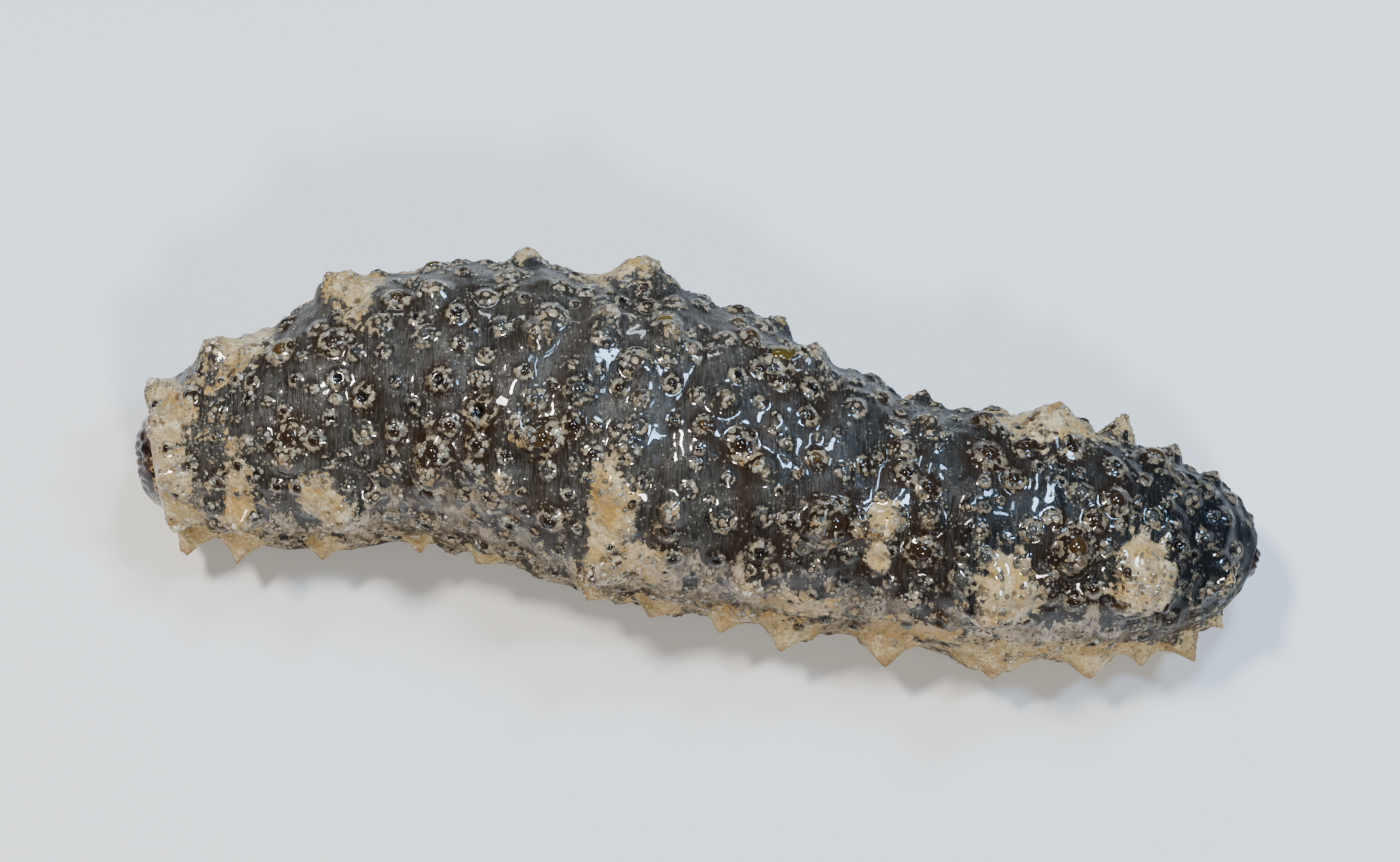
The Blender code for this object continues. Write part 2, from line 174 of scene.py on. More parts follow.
def wrappedGrid(name, rows, columns, place):
    # a grid rolled up into a closed skin: place gives the points for arrays of u and v from 0 to 1
    mesh = bpy.data.meshes.new(name)
    bm = bmesh.new()
    bm.loops.layers.uv.new("OFBake")
    bmesh.ops.create_grid(bm, x_segments=rows, y_segments=columns, size=0.5, calc_uvs=True)
    bm.to_mesh(mesh)
    flat = np.empty(len(mesh.vertices) * 3, np.float32)
    mesh.vertices.foreach_get("co", flat)
    u, v = np.clip(flat.reshape(-1, 3)[:, :2].T.astype(float) + 0.5, 0, 1)
    mesh.vertices.foreach_set("co", place(u, v).astype(np.float32).ravel())
    for label, values in (("u", u), ("v", v)):
        setAttribute(mesh, label, values)
    bm.clear()
    bm.from_mesh(mesh)
    bmesh.ops.remove_doubles(bm, verts=bm.verts, dist=1e-6)
    if bm.calc_volume(signed=True) < 0:
        bmesh.ops.reverse_faces(bm, faces=bm.faces)
    bm.to_mesh(mesh)
    bm.free()
    mesh.shade_smooth()
    return newObject(name, mesh)


def newObject(name, mesh):
    obj = bpy.data.objects.new(name, mesh)
    bpy.context.scene.collection.objects.link(obj)
    return obj


def setAttribute(mesh, label, values):
    layer = mesh.attributes.new(label, "FLOAT", "POINT")
    layer.data.foreach_set("value", np.asarray(values, np.float32))


def setTint(mesh, colours):
    layer = mesh.attributes.new("tint", "FLOAT_COLOR", "POINT")
    rows = np.column_stack([colours, np.ones(len(colours))])
    layer.data.foreach_set("color", rows.astype(np.float32).ravel())


def getAttribute(mesh, label):
    values = np.empty(len(mesh.vertices), np.float32)
    mesh.attributes[label].data.foreach_get("value", values)
    return values.astype(float)


# Camera and light

camera = {
    "frame": (1400, 862),  # the picture's width and height in pixels
    "animalPixel": (697, 460),  # where the middle of the body shows
    "animalPoint": (0.07 * mm, 0.0, 12 * mm),
    "pixelsPerMm": 10.3,
    "elevation": 70.0,
    "distance": 0.30,
    "sensor": 36.0,
}


def makeCamera():
    data = bpy.data.cameras.new("camera")
    data.sensor_width = camera["sensor"]
    data.lens = camera["pixelsPerMm"] * camera["distance"] / mm * camera["sensor"] / camera["frame"][0]
    data.clip_start = 0.01
    obj = newObject("camera", data)
    tilt = math.radians(90 - camera["elevation"])
    turn = Matrix.Rotation(tilt, 4, "X")
    right = camera["frame"][0] / 2 - camera["animalPixel"][0]
    down = camera["frame"][1] / 2 - camera["animalPixel"][1]
    aim = turn @ Vector((right, -down, 0)) * (mm / camera["pixelsPerMm"])
    target = Vector(camera["animalPoint"]) + aim
    obj.matrix_world = Matrix.Translation(target + turn @ Vector((0, 0, camera["distance"]))) @ turn
    bpy.context.scene.camera = obj


lamps = {
    # place, width and height, watts, colour
    "key": ((-0.26, 0.10, 0.60), (0.12, 0.085), 3.6, (1.0, 0.97, 0.92)),
    "fill": ((0.16, -0.50, 0.48), (0.12, 0.09), 3.2, (1.0, 0.98, 0.95)),
    "window": ((0.16, 0.25, 0.55), (0.09, 0.17), 2.3, (0.46, 0.70, 1.0)),
    "secondWindow": ((0.30, 0.04, 0.50), (0.07, 0.14), 1.7, (0.40, 0.66, 1.0)),
    "backStrip": ((-0.05, 0.60, 0.34), (0.20, 0.05), 0.4, (0.85, 0.92, 1.0)),
}
lampAim = (0, 0, 10 * mm)
worldLight = ((0.95, 0.95, 0.95), 0.13)


def makeLight():
    for name, (place, size, watts, colour) in lamps.items():
        data = bpy.data.lights.new(name, "AREA")
        data.shape = "ELLIPSE"
        data.size, data.size_y = size
        data.energy = watts
        data.color = colour
        obj = newObject(name, data)
        obj.location = place
        obj.rotation_euler = (Vector(lampAim) - Vector(place)).to_track_quat("-Z", "Y").to_euler()
    world = bpy.data.worlds.new("studio")
    world.use_nodes = True
    background = world.node_tree.nodes["Background"]
    background.inputs["Color"].default_value = (*worldLight[0], 1)
    background.inputs["Strength"].default_value = worldLight[1]
    bpy.context.scene.world = world
    bpy.context.scene.view_settings.look = "AgX - Medium High Contrast"


floor = {"halfSize": 1.5, "colour": (0.64, 0.625, 0.60), "roughness": 0.6}


def makeFloor():
    bm = bmesh.new()
    bmesh.ops.create_grid(bm, x_segments=1, y_segments=1, size=floor["halfSize"])
    mesh = bpy.data.meshes.new("floor")
    bm.to_mesh(mesh)
    bm.free()
    obj = newObject("floor", mesh)
    material = bpy.data.materials.new("paleFloor")
    material.use_nodes = True
    shader = material.node_tree.nodes["Principled BSDF"]
    shader.inputs["Base Color"].default_value = (*floor["colour"], 1)
    shader.inputs["Roughness"].default_value = floor["roughness"]
    mesh.materials.append(material)


# Papillae and warts: where they grow

papillae = {
    # x in mm, degrees round from the middle of the back (near side positive), height, base radius in mm
    "nearEdge": [
        (-49.0, 110, 2.6, 1.6), (-44.7, 110, 2.7, 1.9), (-36.4, 108, 1.8, 2.0), (-27.1, 106, 1.2, 1.3),
        (-20.7, 106, 1.5, 1.7), (-10.1, 106, 1.4, 1.6), (-4.1, 108, 1.3, 2.2), (2.7, 108, 1.8, 1.9),
        (8.8, 108, 2.7, 2.8), (18.4, 108, 2.8, 3.1), (28.6, 107, 2.7, 3.7), (37.7, 108, 2.6, 3.1),
        (42.7, 106, 1.7, 1.9), (47.0, 108, 2.8, 1.9), (50.2, 100, 1.7, 1.1),
    ],
    "nearShoulder": [
        (-44.2, 66, 2.3, 2.1), (-33.7, 64, 2.6, 3.0), (-18.0, 45, 1.4, 1.9), (-9.6, 70, 2.8, 3.4),
        (4.9, 64, 1.7, 2.2), (16.6, 27, 1.4, 2.2), (27.4, 49, 3.0, 3.7), (42.0, 40, 2.4, 3.7),
        (50.0, 40, 1.2, 1.5),
    ],
    "farShoulder": [
        (-46.2, -46, 2.6, 2.5), (-34.3, -50, 2.8, 3.0), (-25.2, -30, 1.8, 2.0), (-16.6, -62, 1.6, 2.2),
        (-5.4, -58, 2.8, 3.6), (7.8, -70, 1.5, 1.8), (10.6, -42, 2.0, 2.1), (21.8, -66, 1.4, 1.3),
        (34.2, -50, 2.6, 3.8), (40.4, -60, 2.6, 1.8), (45.6, -58, 1.7, 1.5), (49.6, -50, 1.2, 1.3),
    ],
    "back": [
        (-38.8, 32, 1.6, 1.8), (-25.2, 47, 1.8, 1.8), (-15.7, 28, 1.5, 1.7), (-15.0, -12, 1.4, 1.7),
        (-8.3, -27, 1.2, 1.6), (-2.6, -24, 1.5, 1.6), (-2.4, 38, 1.6, 1.7), (2.5, -6, 1.4, 1.4),
        (5.8, 14, 1.5, 1.6), (11.5, 30, 2.0, 2.0), (21.4, 17, 1.5, 1.6), (21.9, -32, 1.4, 1.5),
        (35.0, 26, 1.9, 1.9),
    ],
    "farEdgeShift": 2.4,  # the far edge repeats the near one, moved along and turned over
    "collarCount": 9,
    "collarX": -51.4,
    "collarSize": (1.7, 1.8),
    "collarStart": 34.0,
    "lean": 0.30,
    "uprightWithin": 25.0,
    "sweep": 0.45,
    "reach": 1.6,  # how far off a papilla can move the skin, in base radii
    "spread": 1.22,
    "roundTip": 0.0025,
    "pointedPower": 1.6,
    "bluntMound": (0.80, 1.7),  # height and power
    "bluntTip": (0.08, 0.2),  # height and width
    "knobSize": 1.1 * mm,
    "bluntKnobs": 0.34,
    "pointedKnobs": 0.08,
    "beigeTo": 1.35,  # how far the beige spreads round it
    "brownTip": 0.34,
    "beigeBeyond": 95.0,  # degrees from the middle of the back: those of the lower edges are beige
    "otherBeige": 0.25,  # share of beige on the others
    "clearOfWarts": 0.30,  # of the base radius
}


def papillaRows():
    # every papilla as station, angle, height, base radius
    edge = papillae["nearEdge"]
    shift = papillae["farEdgeShift"]
    farEdge = [(x + shift, -angle, height, radius) for x, angle, height, radius in edge[:-2]]
    rows = []
    for x, angle, height, radius in (
        edge + papillae["nearShoulder"] + papillae["farShoulder"] + papillae["back"] + farEdge
    ):
        rows.append((stationOf(x * mm, angle), angle, height * mm, radius * mm))
    height, radius = papillae["collarSize"]
    for k in range(papillae["collarCount"]):
        angle = (papillae["collarStart"] + 360.0 * k / papillae["collarCount"] + 180) % 360 - 180
        rows.append((papillae["collarX"] * mm, angle, height * mm, radius * mm))
    return rows


def papillaAxis(station, angle):
    # the way a papilla points: out of the skin, outwards, and towards its own end of the body
    outward = sideways(np.array(station)) * (-1 if angle > 0 else 1)
    lean = papillae["lean"] if abs(angle) > papillae["uprightWithin"] else 0.0
    along = np.array([1.0, 0, 0]) * papillae["sweep"] * (station / body["tailEnd"]) ** 3
    return unit(plainNormal(np.array(station), np.array(float(angle))) + outward * lean + along)


warts = {
    "seed": 5,
    "tries": 16000,
    "most": 620,
    "spread": 122.0,  # degrees from the middle of the back
    "clearOfEnds": (0.6 * mm, 0.8 * mm),
    # share of all, least and greatest radius in mm
    "sizes": [(0.16, 0.95, 1.25), (0.50, 0.60, 0.95), (0.34, 0.34, 0.60)],
    "clear": 0.55 * mm,
    "crowdedFrom": 43 * mm,  # towards the tail they stand closer
    "paleBeyond": 92.0,  # degrees from the middle of the back: lower down they are tan
    "height": 0.60,  # of the mound, as a share of the radius
    "reach": 3.2,  # in radii, as are the next three
    "mound": 1.45,
    "dip": 0.42,  # in the middle of each
    "halo": (3.0, 1.2),  # where the brown round a dark one begins and is full
    "haloSizes": (0.4 * mm, 1.0 * mm),
    "moundPower": 1.3,
    "pitDepth": 1.3,
    "tipDepth": 0.35,
    # share of all
    "kinds": [("pit", 0.17), ("brown", 0.27), ("grey", 0.16), ("amber", 0.06), ("tan", 0.34)],
}
wartColours = {
    # pit: near black, painted shade in the hole of a pit wart
    "pit": (0.008, 0.006, 0.005),
    "brown": (0.028, 0.0155, 0.0085),
    "grey": (0.050, 0.047, 0.040),
    "amber": (0.060, 0.033, 0.012),
    "olive": (0.088, 0.062, 0.015),
    "tan": (0.23, 0.175, 0.115),
    "none": (0.05, 0.04, 0.03),
}
farFromWarts = 3.0  # the value of ring where no wart is near, in radii
skinUnderTan = (0.040, 0.028, 0.019)  # shows as a thin dark ring round a tan tip
skinUnderPaleTan = (0.27, 0.190, 0.098)  # the same ring inside a beige patch
markedWarts = [
    # the coloured bumps that stand out: x in mm, degrees, radius in mm, kind
    (-24.7, 39, 1.35, "brown"), (-14.2, 25, 1.30, "amber"), (13.0, 27, 1.70, "brown"),
    (35.5, 21, 1.60, "amber"), (8.0, -37, 1.60, "olive"), (-25.7, -64, 1.30, "olive"),
    (44.0, -48, 1.40, "amber"), (-6.2, 71, 0.90, "amber"), (21.0, 32, 1.25, "brown"),
    (4.0, 8, 1.25, "brown"), (-3.0, -30, 1.20, "olive"), (27.5, -20, 1.30, "brown"),
    (-38.6, 22, 1.20, "brown"), (39.5, -5, 1.20, "brown"), (49.0, -34, 0.90, "tan"),
    (50.8, -14, 0.80, "grey"), (51.9, 10, 0.80, "tan"), (48.6, 6, 0.85, "grey"), (50.9, 30, 1.25, "amber"),
    (51.6, -42, 0.75, "tan"), (52.4, 46, 0.70, "tan"), (49.6, 66, 0.80, "tan"), (47.4, -20, 0.75, "tan"),
]


def pickFrom(rng, table):
    # an entry of a table whose rows hold a share of all, drawn by those shares
    draw = rng.random()
    for row in table:
        share = next(value for value in row if isinstance(value, float))
        if draw < share:
            return row
        draw -= share
    return table[-1]


def scatterWarts(rows):
    # warts of mixed sizes, clear of each other and of the tips of the papillae
    rng = random.Random(warts["seed"])
    places = [plainSkin(station, angle) for station, angle, _, _ in rows]
    sizes = [radius * papillae["clearOfWarts"] for _, _, _, radius in rows]
    found = []
    for x, angle, radius, kind in markedWarts:
        station = stationOf(x * mm, angle)
        radius *= mm
        found.append({"station": station, "angle": angle, "radius": radius, "kind": kind, "onPale": False})
        places.append(plainSkin(station, angle))
        sizes.append(radius)
    tries = warts["tries"]
    first = body["headEnd"] + warts["clearOfEnds"][0]
    last = body["tailEnd"] - warts["clearOfEnds"][1]
    stations = [rng.uniform(first, last) for _ in range(tries)]
    angles = [rng.uniform(-warts["spread"], warts["spread"]) for _ in range(tries)]
    candidates = plainSkin(np.array(stations), np.array(angles))
    pale = (patchField(candidates) > 0.5) | (np.abs(angles) > warts["paleBeyond"])
    for station, angle, place, isPale in zip(stations, angles, candidates, pale):
        _, least, greatest = pickFrom(rng, warts["sizes"])
        radius = rng.uniform(least, greatest) * mm
        kind = pickFrom(rng, warts["kinds"])[0]
        if isPale and kind == "pit":
            kind = "tan"
        gaps = np.linalg.norm(np.array(places) - place, axis=1) - np.array(sizes) - radius
        clear = warts["clear"] if station < warts["crowdedFrom"] else warts["clear"] / 2
        if gaps.min() < clear or rng.random() < bareness(station):
            continue
        places.append(place)
        sizes.append(radius)
        found.append({"station": station, "angle": angle, "radius": radius, "kind": kind, "onPale": isPale})
        if len(found) == warts["most"]:
            break
    return found


def bareness(station):
    # how bare the skin is of warts and grains here: the creases are nearly bare
    near = [math.exp(-(((station - x * mm) / (0.8 * width * mm)) ** 2)) for x, width, _ in skin["creases"]]
    return 0.85 * max(near)


# Skin

skin = {
    "rows": 425,
    "columns": 228,
    "bellyShare": 0.45,  # how densely the belly is divided, beside the back
    # mm inside the end of the body and share of the section, from the pole outwards
    "headRings": [(2.2, 0.0), (2.1, 0.55), (1.75, 0.72), (1.0, 0.775), (0.3, 0.795), (-0.02, 0.84),
                  (0.0, 0.89), (0.16, 0.935), (0.5, 0.97), (1.4, 1.0)],
    "tailRings": [(2.0, 0.0), (1.9, 0.3), (1.5, 0.42), (0.6, 0.475), (0.15, 0.52), (0.05, 0.58),
                  (0.22, 0.68), (0.6, 0.78), (1.2, 0.87), (2.2, 0.945), (3.6, 1.0)],
    "lumpSize": 6.5 * mm,
    "lumpHeight": 0.30 * mm,
    "tailLumpSize": 1.7 * mm,
    "tailLumps": 0.34 * mm,
    "rippleSize": 2.6 * mm,
    "rippleHeight": 0.08 * mm,
    "rippleSquash": (2.4, 0.65, 0.65),  # narrow along the body, long across it
    "crinkleSize": 1.15 * mm,
    "crinkleHeight": 0.095 * mm,
    # stations in mm, half width in mm and strength of the creases that cross the back
    "creases": [(-40.6, 0.8, 0.4), (-31.0, 0.9, 0.5), (-27.5, 0.8, 0.4), (-21.8, 0.9, 0.5), (-17.0, 0.8, 0.5),
                (-12.2, 1.0, 0.9), (-1.0, 0.8, 0.5), (6.6, 1.0, 1.0), (10.2, 0.8, 0.9), (17.3, 0.9, 1.0),
                (20.4, 0.8, 0.9), (24.6, 0.7, 0.6), (32.4, 0.8, 0.7), (38.2, 0.7, 0.6), (46.5, 0.7, 0.5)],
    "creaseDepth": 0.22 * mm,
    "creaseWander": 1.3 * mm,
    "creaseWanderSize": 7 * mm,
    "creaseBreakSize": 9 * mm,
    "patchHeight": 0.16 * mm,
    "patchLumpSize": 1.3 * mm,
    "bellySag": 0.30 * mm,
    "lowest": 0.45 * mm,  # of the belly between the feet
    "restingFrom": (112, 142),  # degrees from the middle of the back
    "flattened": 0.80,  # how much of its height the belly's edge loses
    "liftedEnds": 9 * mm,
}


def bodyProfile():
    # stations and shares of the rings, evenly spaced along the skin from pole to pole
    head = [(body["headEnd"] + inside * mm, share) for inside, share in skin["headRings"]]
    tail = [(body["tailEnd"] - inside * mm, share) for inside, share in skin["tailRings"]]
    line = np.array(head + tail[::-1])
    width = alongBody(line[:, 0], 2)
    steps = np.hypot(np.diff(line[:, 0]), np.diff(line[:, 1] * width))
    lengths = np.concatenate([[0], np.cumsum(steps)])
    return line[:, 0], line[:, 1], lengths / lengths[-1]


def angleSteps():
    # degrees round the body against v, with the belly divided more coarsely
    angles = np.linspace(-180, 180, 721)
    ring = plainSkin(np.full(721, -5 * mm), angles)
    steps = np.linalg.norm(np.diff(ring, axis=0), axis=1)
    middles = np.abs((angles[1:] + angles[:-1]) / 2)
    steps = steps * np.where(middles > body["soleEdge"], skin["bellyShare"], 1.0)
    lengths = np.concatenate([[0], np.cumsum(steps)])
    return angles, lengths / lengths[-1]


def skinStations(u, v):
    stations, shares, lengths = bodyProfile()
    angles, rounds = angleSteps()
    return np.interp(u, lengths, stations), np.interp(v, rounds, angles), np.interp(u, lengths, shares)


def placeSkin(u, v):
    station, angle, share = skinStations(u, v)
    return plainSkin(station, angle, share)


def creaseTone(station, angle, points):
    # from 0 to 1, how deep in a crease each point lies
    wander = noiseAt(points * np.array([0.35, 1, 1]), skin["creaseWanderSize"], 21) * skin["creaseWander"]
    patchy = noiseAt(points, skin["creaseBreakSize"], 22)
    tone = np.zeros(len(station))
    for x, width, strength in skin["creases"]:
        near = np.exp(-(((station + wander - x * mm) / (width * mm)) ** 2))
        tone = np.maximum(tone, near * strength)
    return tone * within("upperBack", np.abs(angle)) * (0.55 + 0.45 * smoothStep(-0.3, 0.3, patchy))


def raisePapillae(base, rows, rim):
    # how each point moves, how far inside a beige papilla it lies, and how near a tip
    move = np.zeros_like(base)
    papilla = np.zeros(len(base))
    tip = np.zeros(len(base))
    mound, moundPower = papillae["bluntMound"]
    tipHeight, tipWidth = papillae["bluntTip"]
    for station, angle, height, radius in rows:
        centre = plainSkin(station, angle)
        near = np.abs(base[:, 0] - centre[0]) < radius * papillae["reach"]
        t = np.linalg.norm(base[near] - centre, axis=1) / (radius * papillae["spread"])
        t = np.sqrt(t**2 + papillae["roundTip"])
        if paleness(angle) == 1.0:
            rise = np.clip(1 - t, 0, 1) ** papillae["pointedPower"]
            knobs = papillae["pointedKnobs"]
        else:
            rise = mound * np.clip(1 - t**2, 0, 1) ** moundPower + tipHeight * np.exp(-((t / tipWidth) ** 2))
            knobs = papillae["bluntKnobs"]
        rise *= height * (1 + knobs * noiseAt(base[near], papillae["knobSize"], 14)) * rim[near]
        move[near] += rise[:, None] * papillaAxis(station, angle)
        onCollar = station < (papillae["collarX"] + 1) * mm
        spread = np.clip(papillae["beigeTo"] - t, 0, 1) * (1.0 if onCollar else paleness(angle))
        papilla[near] = np.maximum(papilla[near], spread)
        tip[near] = np.maximum(tip[near], np.clip(1 - t / papillae["brownTip"], 0, 1))
    return move, papilla, tip


def raiseWarts(base, wartList, swell):
    # adds the warts to swell, and gives how far off the nearest one is, in its radii, with its colour
    # and the brown halo round the dark ones
    ring = np.full(len(base), farFromWarts)
    tint = np.tile(wartColours["none"], (len(base), 1))
    halo = np.zeros(len(base))
    for wart in wartList:
        kind = wart["kind"]
        radius = wart["radius"]
        centre = plainSkin(wart["station"], wart["angle"])
        near = np.abs(base[:, 0] - centre[0]) < radius * warts["reach"]
        t = np.linalg.norm(base[near] - centre, axis=1) / radius
        mound = np.clip(1 - (t / warts["mound"]) ** 2, 0, 1) ** warts["moundPower"]
        dip = np.exp(-((t / warts["dip"]) ** 2)) * warts["pitDepth" if kind == "pit" else "tipDepth"]
        swell[near] += radius * warts["height"] * (mound - dip)
        # a brown halo round the dark warts, partly painted shade
        if kind in ("pit", "brown", "amber"):
            brown = smoothStep(*warts["halo"], t) * smoothStep(*warts["haloSizes"], radius)
            halo[near] = np.maximum(halo[near], brown)
        closer = t < ring[near]
        index = np.flatnonzero(near)[closer]
        ring[index] = t[closer]
        tint[index] = wartColours[kind]
        if kind == "tan":
            tint[index] = skinUnderPaleTan if wart["onPale"] else skinUnderTan
    return ring, tint, halo


def raiseSkin(obj, rows, wartList):
    # the papillae, warts, creases and lumps, and the attributes that the materials read
    mesh = obj.data
    station, angle, share = skinStations(getAttribute(mesh, "u"), getAttribute(mesh, "v"))
    base = plainSkin(station, angle, share)
    onBack = within("back", np.abs(angle))
    rim = np.where(station < 0, within("headRim", share), within("tailRim", share))
    move, papilla, tip = raisePapillae(base, rows, rim)
    tail = within("tail", station)
    lumps = noiseAt(base, skin["lumpSize"], 3) * skin["lumpHeight"]
    lumps += noiseAt(base, skin["tailLumpSize"], 13) * skin["tailLumps"] * tail
    lumps += noiseAt(base * np.array(skin["rippleSquash"]), skin["rippleSize"], 8) * skin["rippleHeight"]
    lumps += noiseAt(base, skin["crinkleSize"], 9) * skin["crinkleHeight"]
    torn = noiseAt(base, patches["tornSize"], 15)
    patch = np.maximum(np.clip(patchField(base), -0.5, 1.5), papilla * (1.4 + patches["torn"] * torn))
    uneven = 1 + noiseAt(base, skin["patchLumpSize"], 12)
    lumps += smoothStep(0.35, 0.95, patch) * skin["patchHeight"] * uneven
    crease = creaseTone(station, angle, base)
    swell = lumps * (0.25 + 0.75 * onBack) - crease * skin["creaseDepth"] + (1 - onBack) * skin["bellySag"]
    ring, tint, halo = raiseWarts(base, wartList, swell)
    points = base + move + plainNormal(station, angle) * (swell * rim)[:, None]
    # the belly's edge lies flatter, except towards the two ends
    resting = smoothStep(*skin["restingFrom"], np.abs(angle)) * rim
    inside = np.minimum(station - body["headEnd"], body["tailEnd"] - station)
    resting *= smoothStep(0, skin["liftedEnds"], inside)
    points[:, 2] -= np.maximum(points[:, 2] - skin["lowest"], 0) * resting * skin["flattened"]
    points[:, 2] = np.maximum(points[:, 2], skin["lowest"])
    mesh.vertices.foreach_set("co", points.astype(np.float32).ravel())
    low = paleFlank(station, angle)
    mottled = dustField(base, station, angle) * onBack * 0.75 - 0.5
    mottled += patches["headMottle"] * within("head", station)
    wet = within("nearWet", angle) * within("farWet", angle) * (1 - 0.8 * within("dryTail", station))
    for label, values in {
        "ring": ring,
        "crease": crease,
        "sole": 1 - onBack,
        # far: where painted shade falls on the far upper side, less on its pale flank
        "far": within("far", angle) * (1 - low),
        "patch": np.maximum(patch, mottled * onBack - 0.5 * (1 - onBack)),
        "hind": within("hind", station),
        "wet": 0.06 + 0.94 * wet,
        "tail": tail,
        "calm": smoothStep(0.1, 0.6, papilla),
        "flank": low,
        "tip": tip,
        "halo": halo,
    }.items():
        setAttribute(mesh, label, values)
    setTint(mesh, tint)
    mesh.update()


patches = {
    "beige": [
        # x in mm, degrees, half length along and half width across in mm
        (-51.0, -14, 3.2, 3.6), (-51.6, 44, 2.8, 4.2), (-43.6, -50, 2.6, 5.4), (-32.5, -50, 2.3, 5.8),
        (-35.7, 55, 2.6, 2.6), (-43.9, 52, 1.5, 4.2), (-8.0, 44, 2.3, 5.2), (-5.4, 68, 2.9, 3.4),
        (-8.0, -64, 3.8, 4.4), (33.5, -56, 5.8, 5.0), (27.0, -84, 2.6, 2.0), (40.6, -62, 1.7, 1.9),
        (-16.6, -62, 1.5, 1.7), (-28.0, -66, 1.3, 1.4), (29.0, 46, 3.2, 4.2), (42.0, 32, 3.2, 4.0),
        (17.6, 20, 1.5, 2.2), (17.0, 38, 1.2, 1.8), (10.0, 74, 4.6, 2.2), (21.7, 80, 6.5, 2.0),
        (31.0, 90, 8.0, 2.0), (4.0, 96, 6.0, 1.8), (-45.0, 108, 2.0, 2.4), (-25.0, -90, 2.2, 2.6),
        (12.0, -96, 3.0, 2.2), (44.0, -80, 2.4, 2.0),
    ],
    "dustReach": 3.2,  # how many times its size a patch spreads grains round itself
    "tornSize": 1.8 * mm,  # of the gaps in the beige of a papilla
    "torn": 0.5,
    "headMottle": 0.42,  # how far the beige spreads over the head in small islands
}


def patchField(points):
    # over 0.5 inside the beige patches, and falling away outside them
    field = np.full(len(points), -0.5)
    for x, angle, halfLength, halfWidth in patches["beige"]:
        centre = plainSkin(stationOf(x * mm, angle), angle)
        offset = points - centre
        away = np.linalg.norm(offset[:, 1:], axis=1)
        field = np.maximum(field, 1.5 - np.hypot(offset[:, 0] / (halfLength * mm), away / (halfWidth * mm)))
    return np.clip(field, 1.5 - patches["dustReach"], 1.5)


flank = {"front": 0.62, "far": 0.85}  # how pale, beside the near hind side


def paleFlank(station, angle):
    # the paler lower sides: the near one starts higher up and is palest towards the tail
    near = flank["front"] + (1 - flank["front"]) * within("hindFlank", station)
    return within("nearFlank", angle) * near + within("farFlank", angle) * flank["far"]


dust = {
    "cloudSize": 2.3 * mm,
    # what each adds: loose clouds, the skin near a patch, the head, the lower sides, the far side
    "cloud": 0.34,
    "nearPatch": 0.50,
    "head": 0.30,
    "low": 0.30,
    "far": 0.22,
    "tailLoss": 0.55,
}


def dustField(points, station, angle):
    # from 0 to 1, how thickly small grains lie
    cloud = smoothStep(-0.05, 0.45, noiseAt(points, dust["cloudSize"], 31))
    near = smoothStep(1.5 - patches["dustReach"], 0.6, patchField(points))
    spread = dust["cloud"] * cloud + dust["nearPatch"] * near * (0.4 + 0.6 * cloud)
    spread += dust["head"] * within("headDust", station)
    spread += dust["low"] * paleFlank(station, angle)
    spread += dust["far"] * within("farDust", angle)
    dark = dust["tailLoss"] * within("bareTail", station) * within("bareBack", angle)
    return np.clip(spread, 0, 1) * (1 - dark)


def paleness(angle):
    # the share of beige on a papilla
    return 1.0 if abs(angle) > papillae["beigeBeyond"] else papillae["otherBeige"]


# Granules and wart tips: joined meshes of many small beads

granules = {
    "seed": 17,
    "room": 0.36 * mm,  # what one takes of a wart's ring
    "layers": 1.5,
    "keep": (0.30, 0.85),
    "fullness": (0.75, 0.45),  # of a ring: its middle, and how much it varies round the wart
    "sizeByWart": (0.75, 0.35),  # share of the radius, and more for each mm of the wart's
    "ring": (0.60, 1.50, 0.9),  # nearest, farthest and likeliest, in the wart's radii
    "radius": (0.12, 0.30),
    "looseTries": 22000,
    "looseAngle": 120,  # degrees from the middle of the back
    "looseRadius": (0.05, 0.24, 0.09),  # least, greatest and likeliest
    "looseBright": (0.40, 0.95),
    "onPale": (0.37, 0.285, 0.170),  # colour of the loose ones on beige skin
    # share of all and colour
    "colours": [(0.34, (0.245, 0.215, 0.158)), (0.14, (0.35, 0.325, 0.265)), (0.24, (0.170, 0.140, 0.098)),
                (0.26, (0.140, 0.132, 0.112)), (0.02, (0.09, 0.054, 0.028))],
    "stretch": [(0.8, 1.3), (0.7, 1.1), (0.55, 1.0)],  # length, width and height, in radii
    "bright": (0.70, 1.08),
    # brightness of the head, hind half and tail, with the stations in mm where it begins and is full
    "shading": [(1.25, -36, -44), (0.70, -10, 15), (0.44, 42, 48)],
    "flankBright": 0.35,
    "sunk": 0.30,  # share of the height
    "clearOfEnds": (0.3 * mm, 0.5 * mm),
    "mapPatch": 0.003,
    "dome": (7, 2),  # sides and rings
    "pieces": 3,
}
crowns = {
    "perMm": 9,  # grains for each mm of the papilla's base radius
    "reach": 0.62,
    "radius": (0.14, 0.36),
    "colours": [(0.40, (0.34, 0.28, 0.19)), (0.25, (0.20, 0.150, 0.092)), (0.20, (0.42, 0.375, 0.29)),
                (0.15, (0.135, 0.090, 0.048))],
}
wartTips = {
    "share": {"brown": 0.66, "grey": 0.60, "amber": 0.68, "olive": 0.80, "tan": 0.50},  # of the wart's radius
    "uneven": (0.8, 1.1),
    "bright": (0.7, 1.3),
    "stretch": (0.85, 1.15),
    "height": 0.50,
    "sunk": 0.30,
    "second": 0.35,  # how many have a smaller tip beside the first
    "secondSize": 0.5,
    "dome": (12, 3),
}
domeSkirt = 28  # degrees that a dome goes on below its widest ring


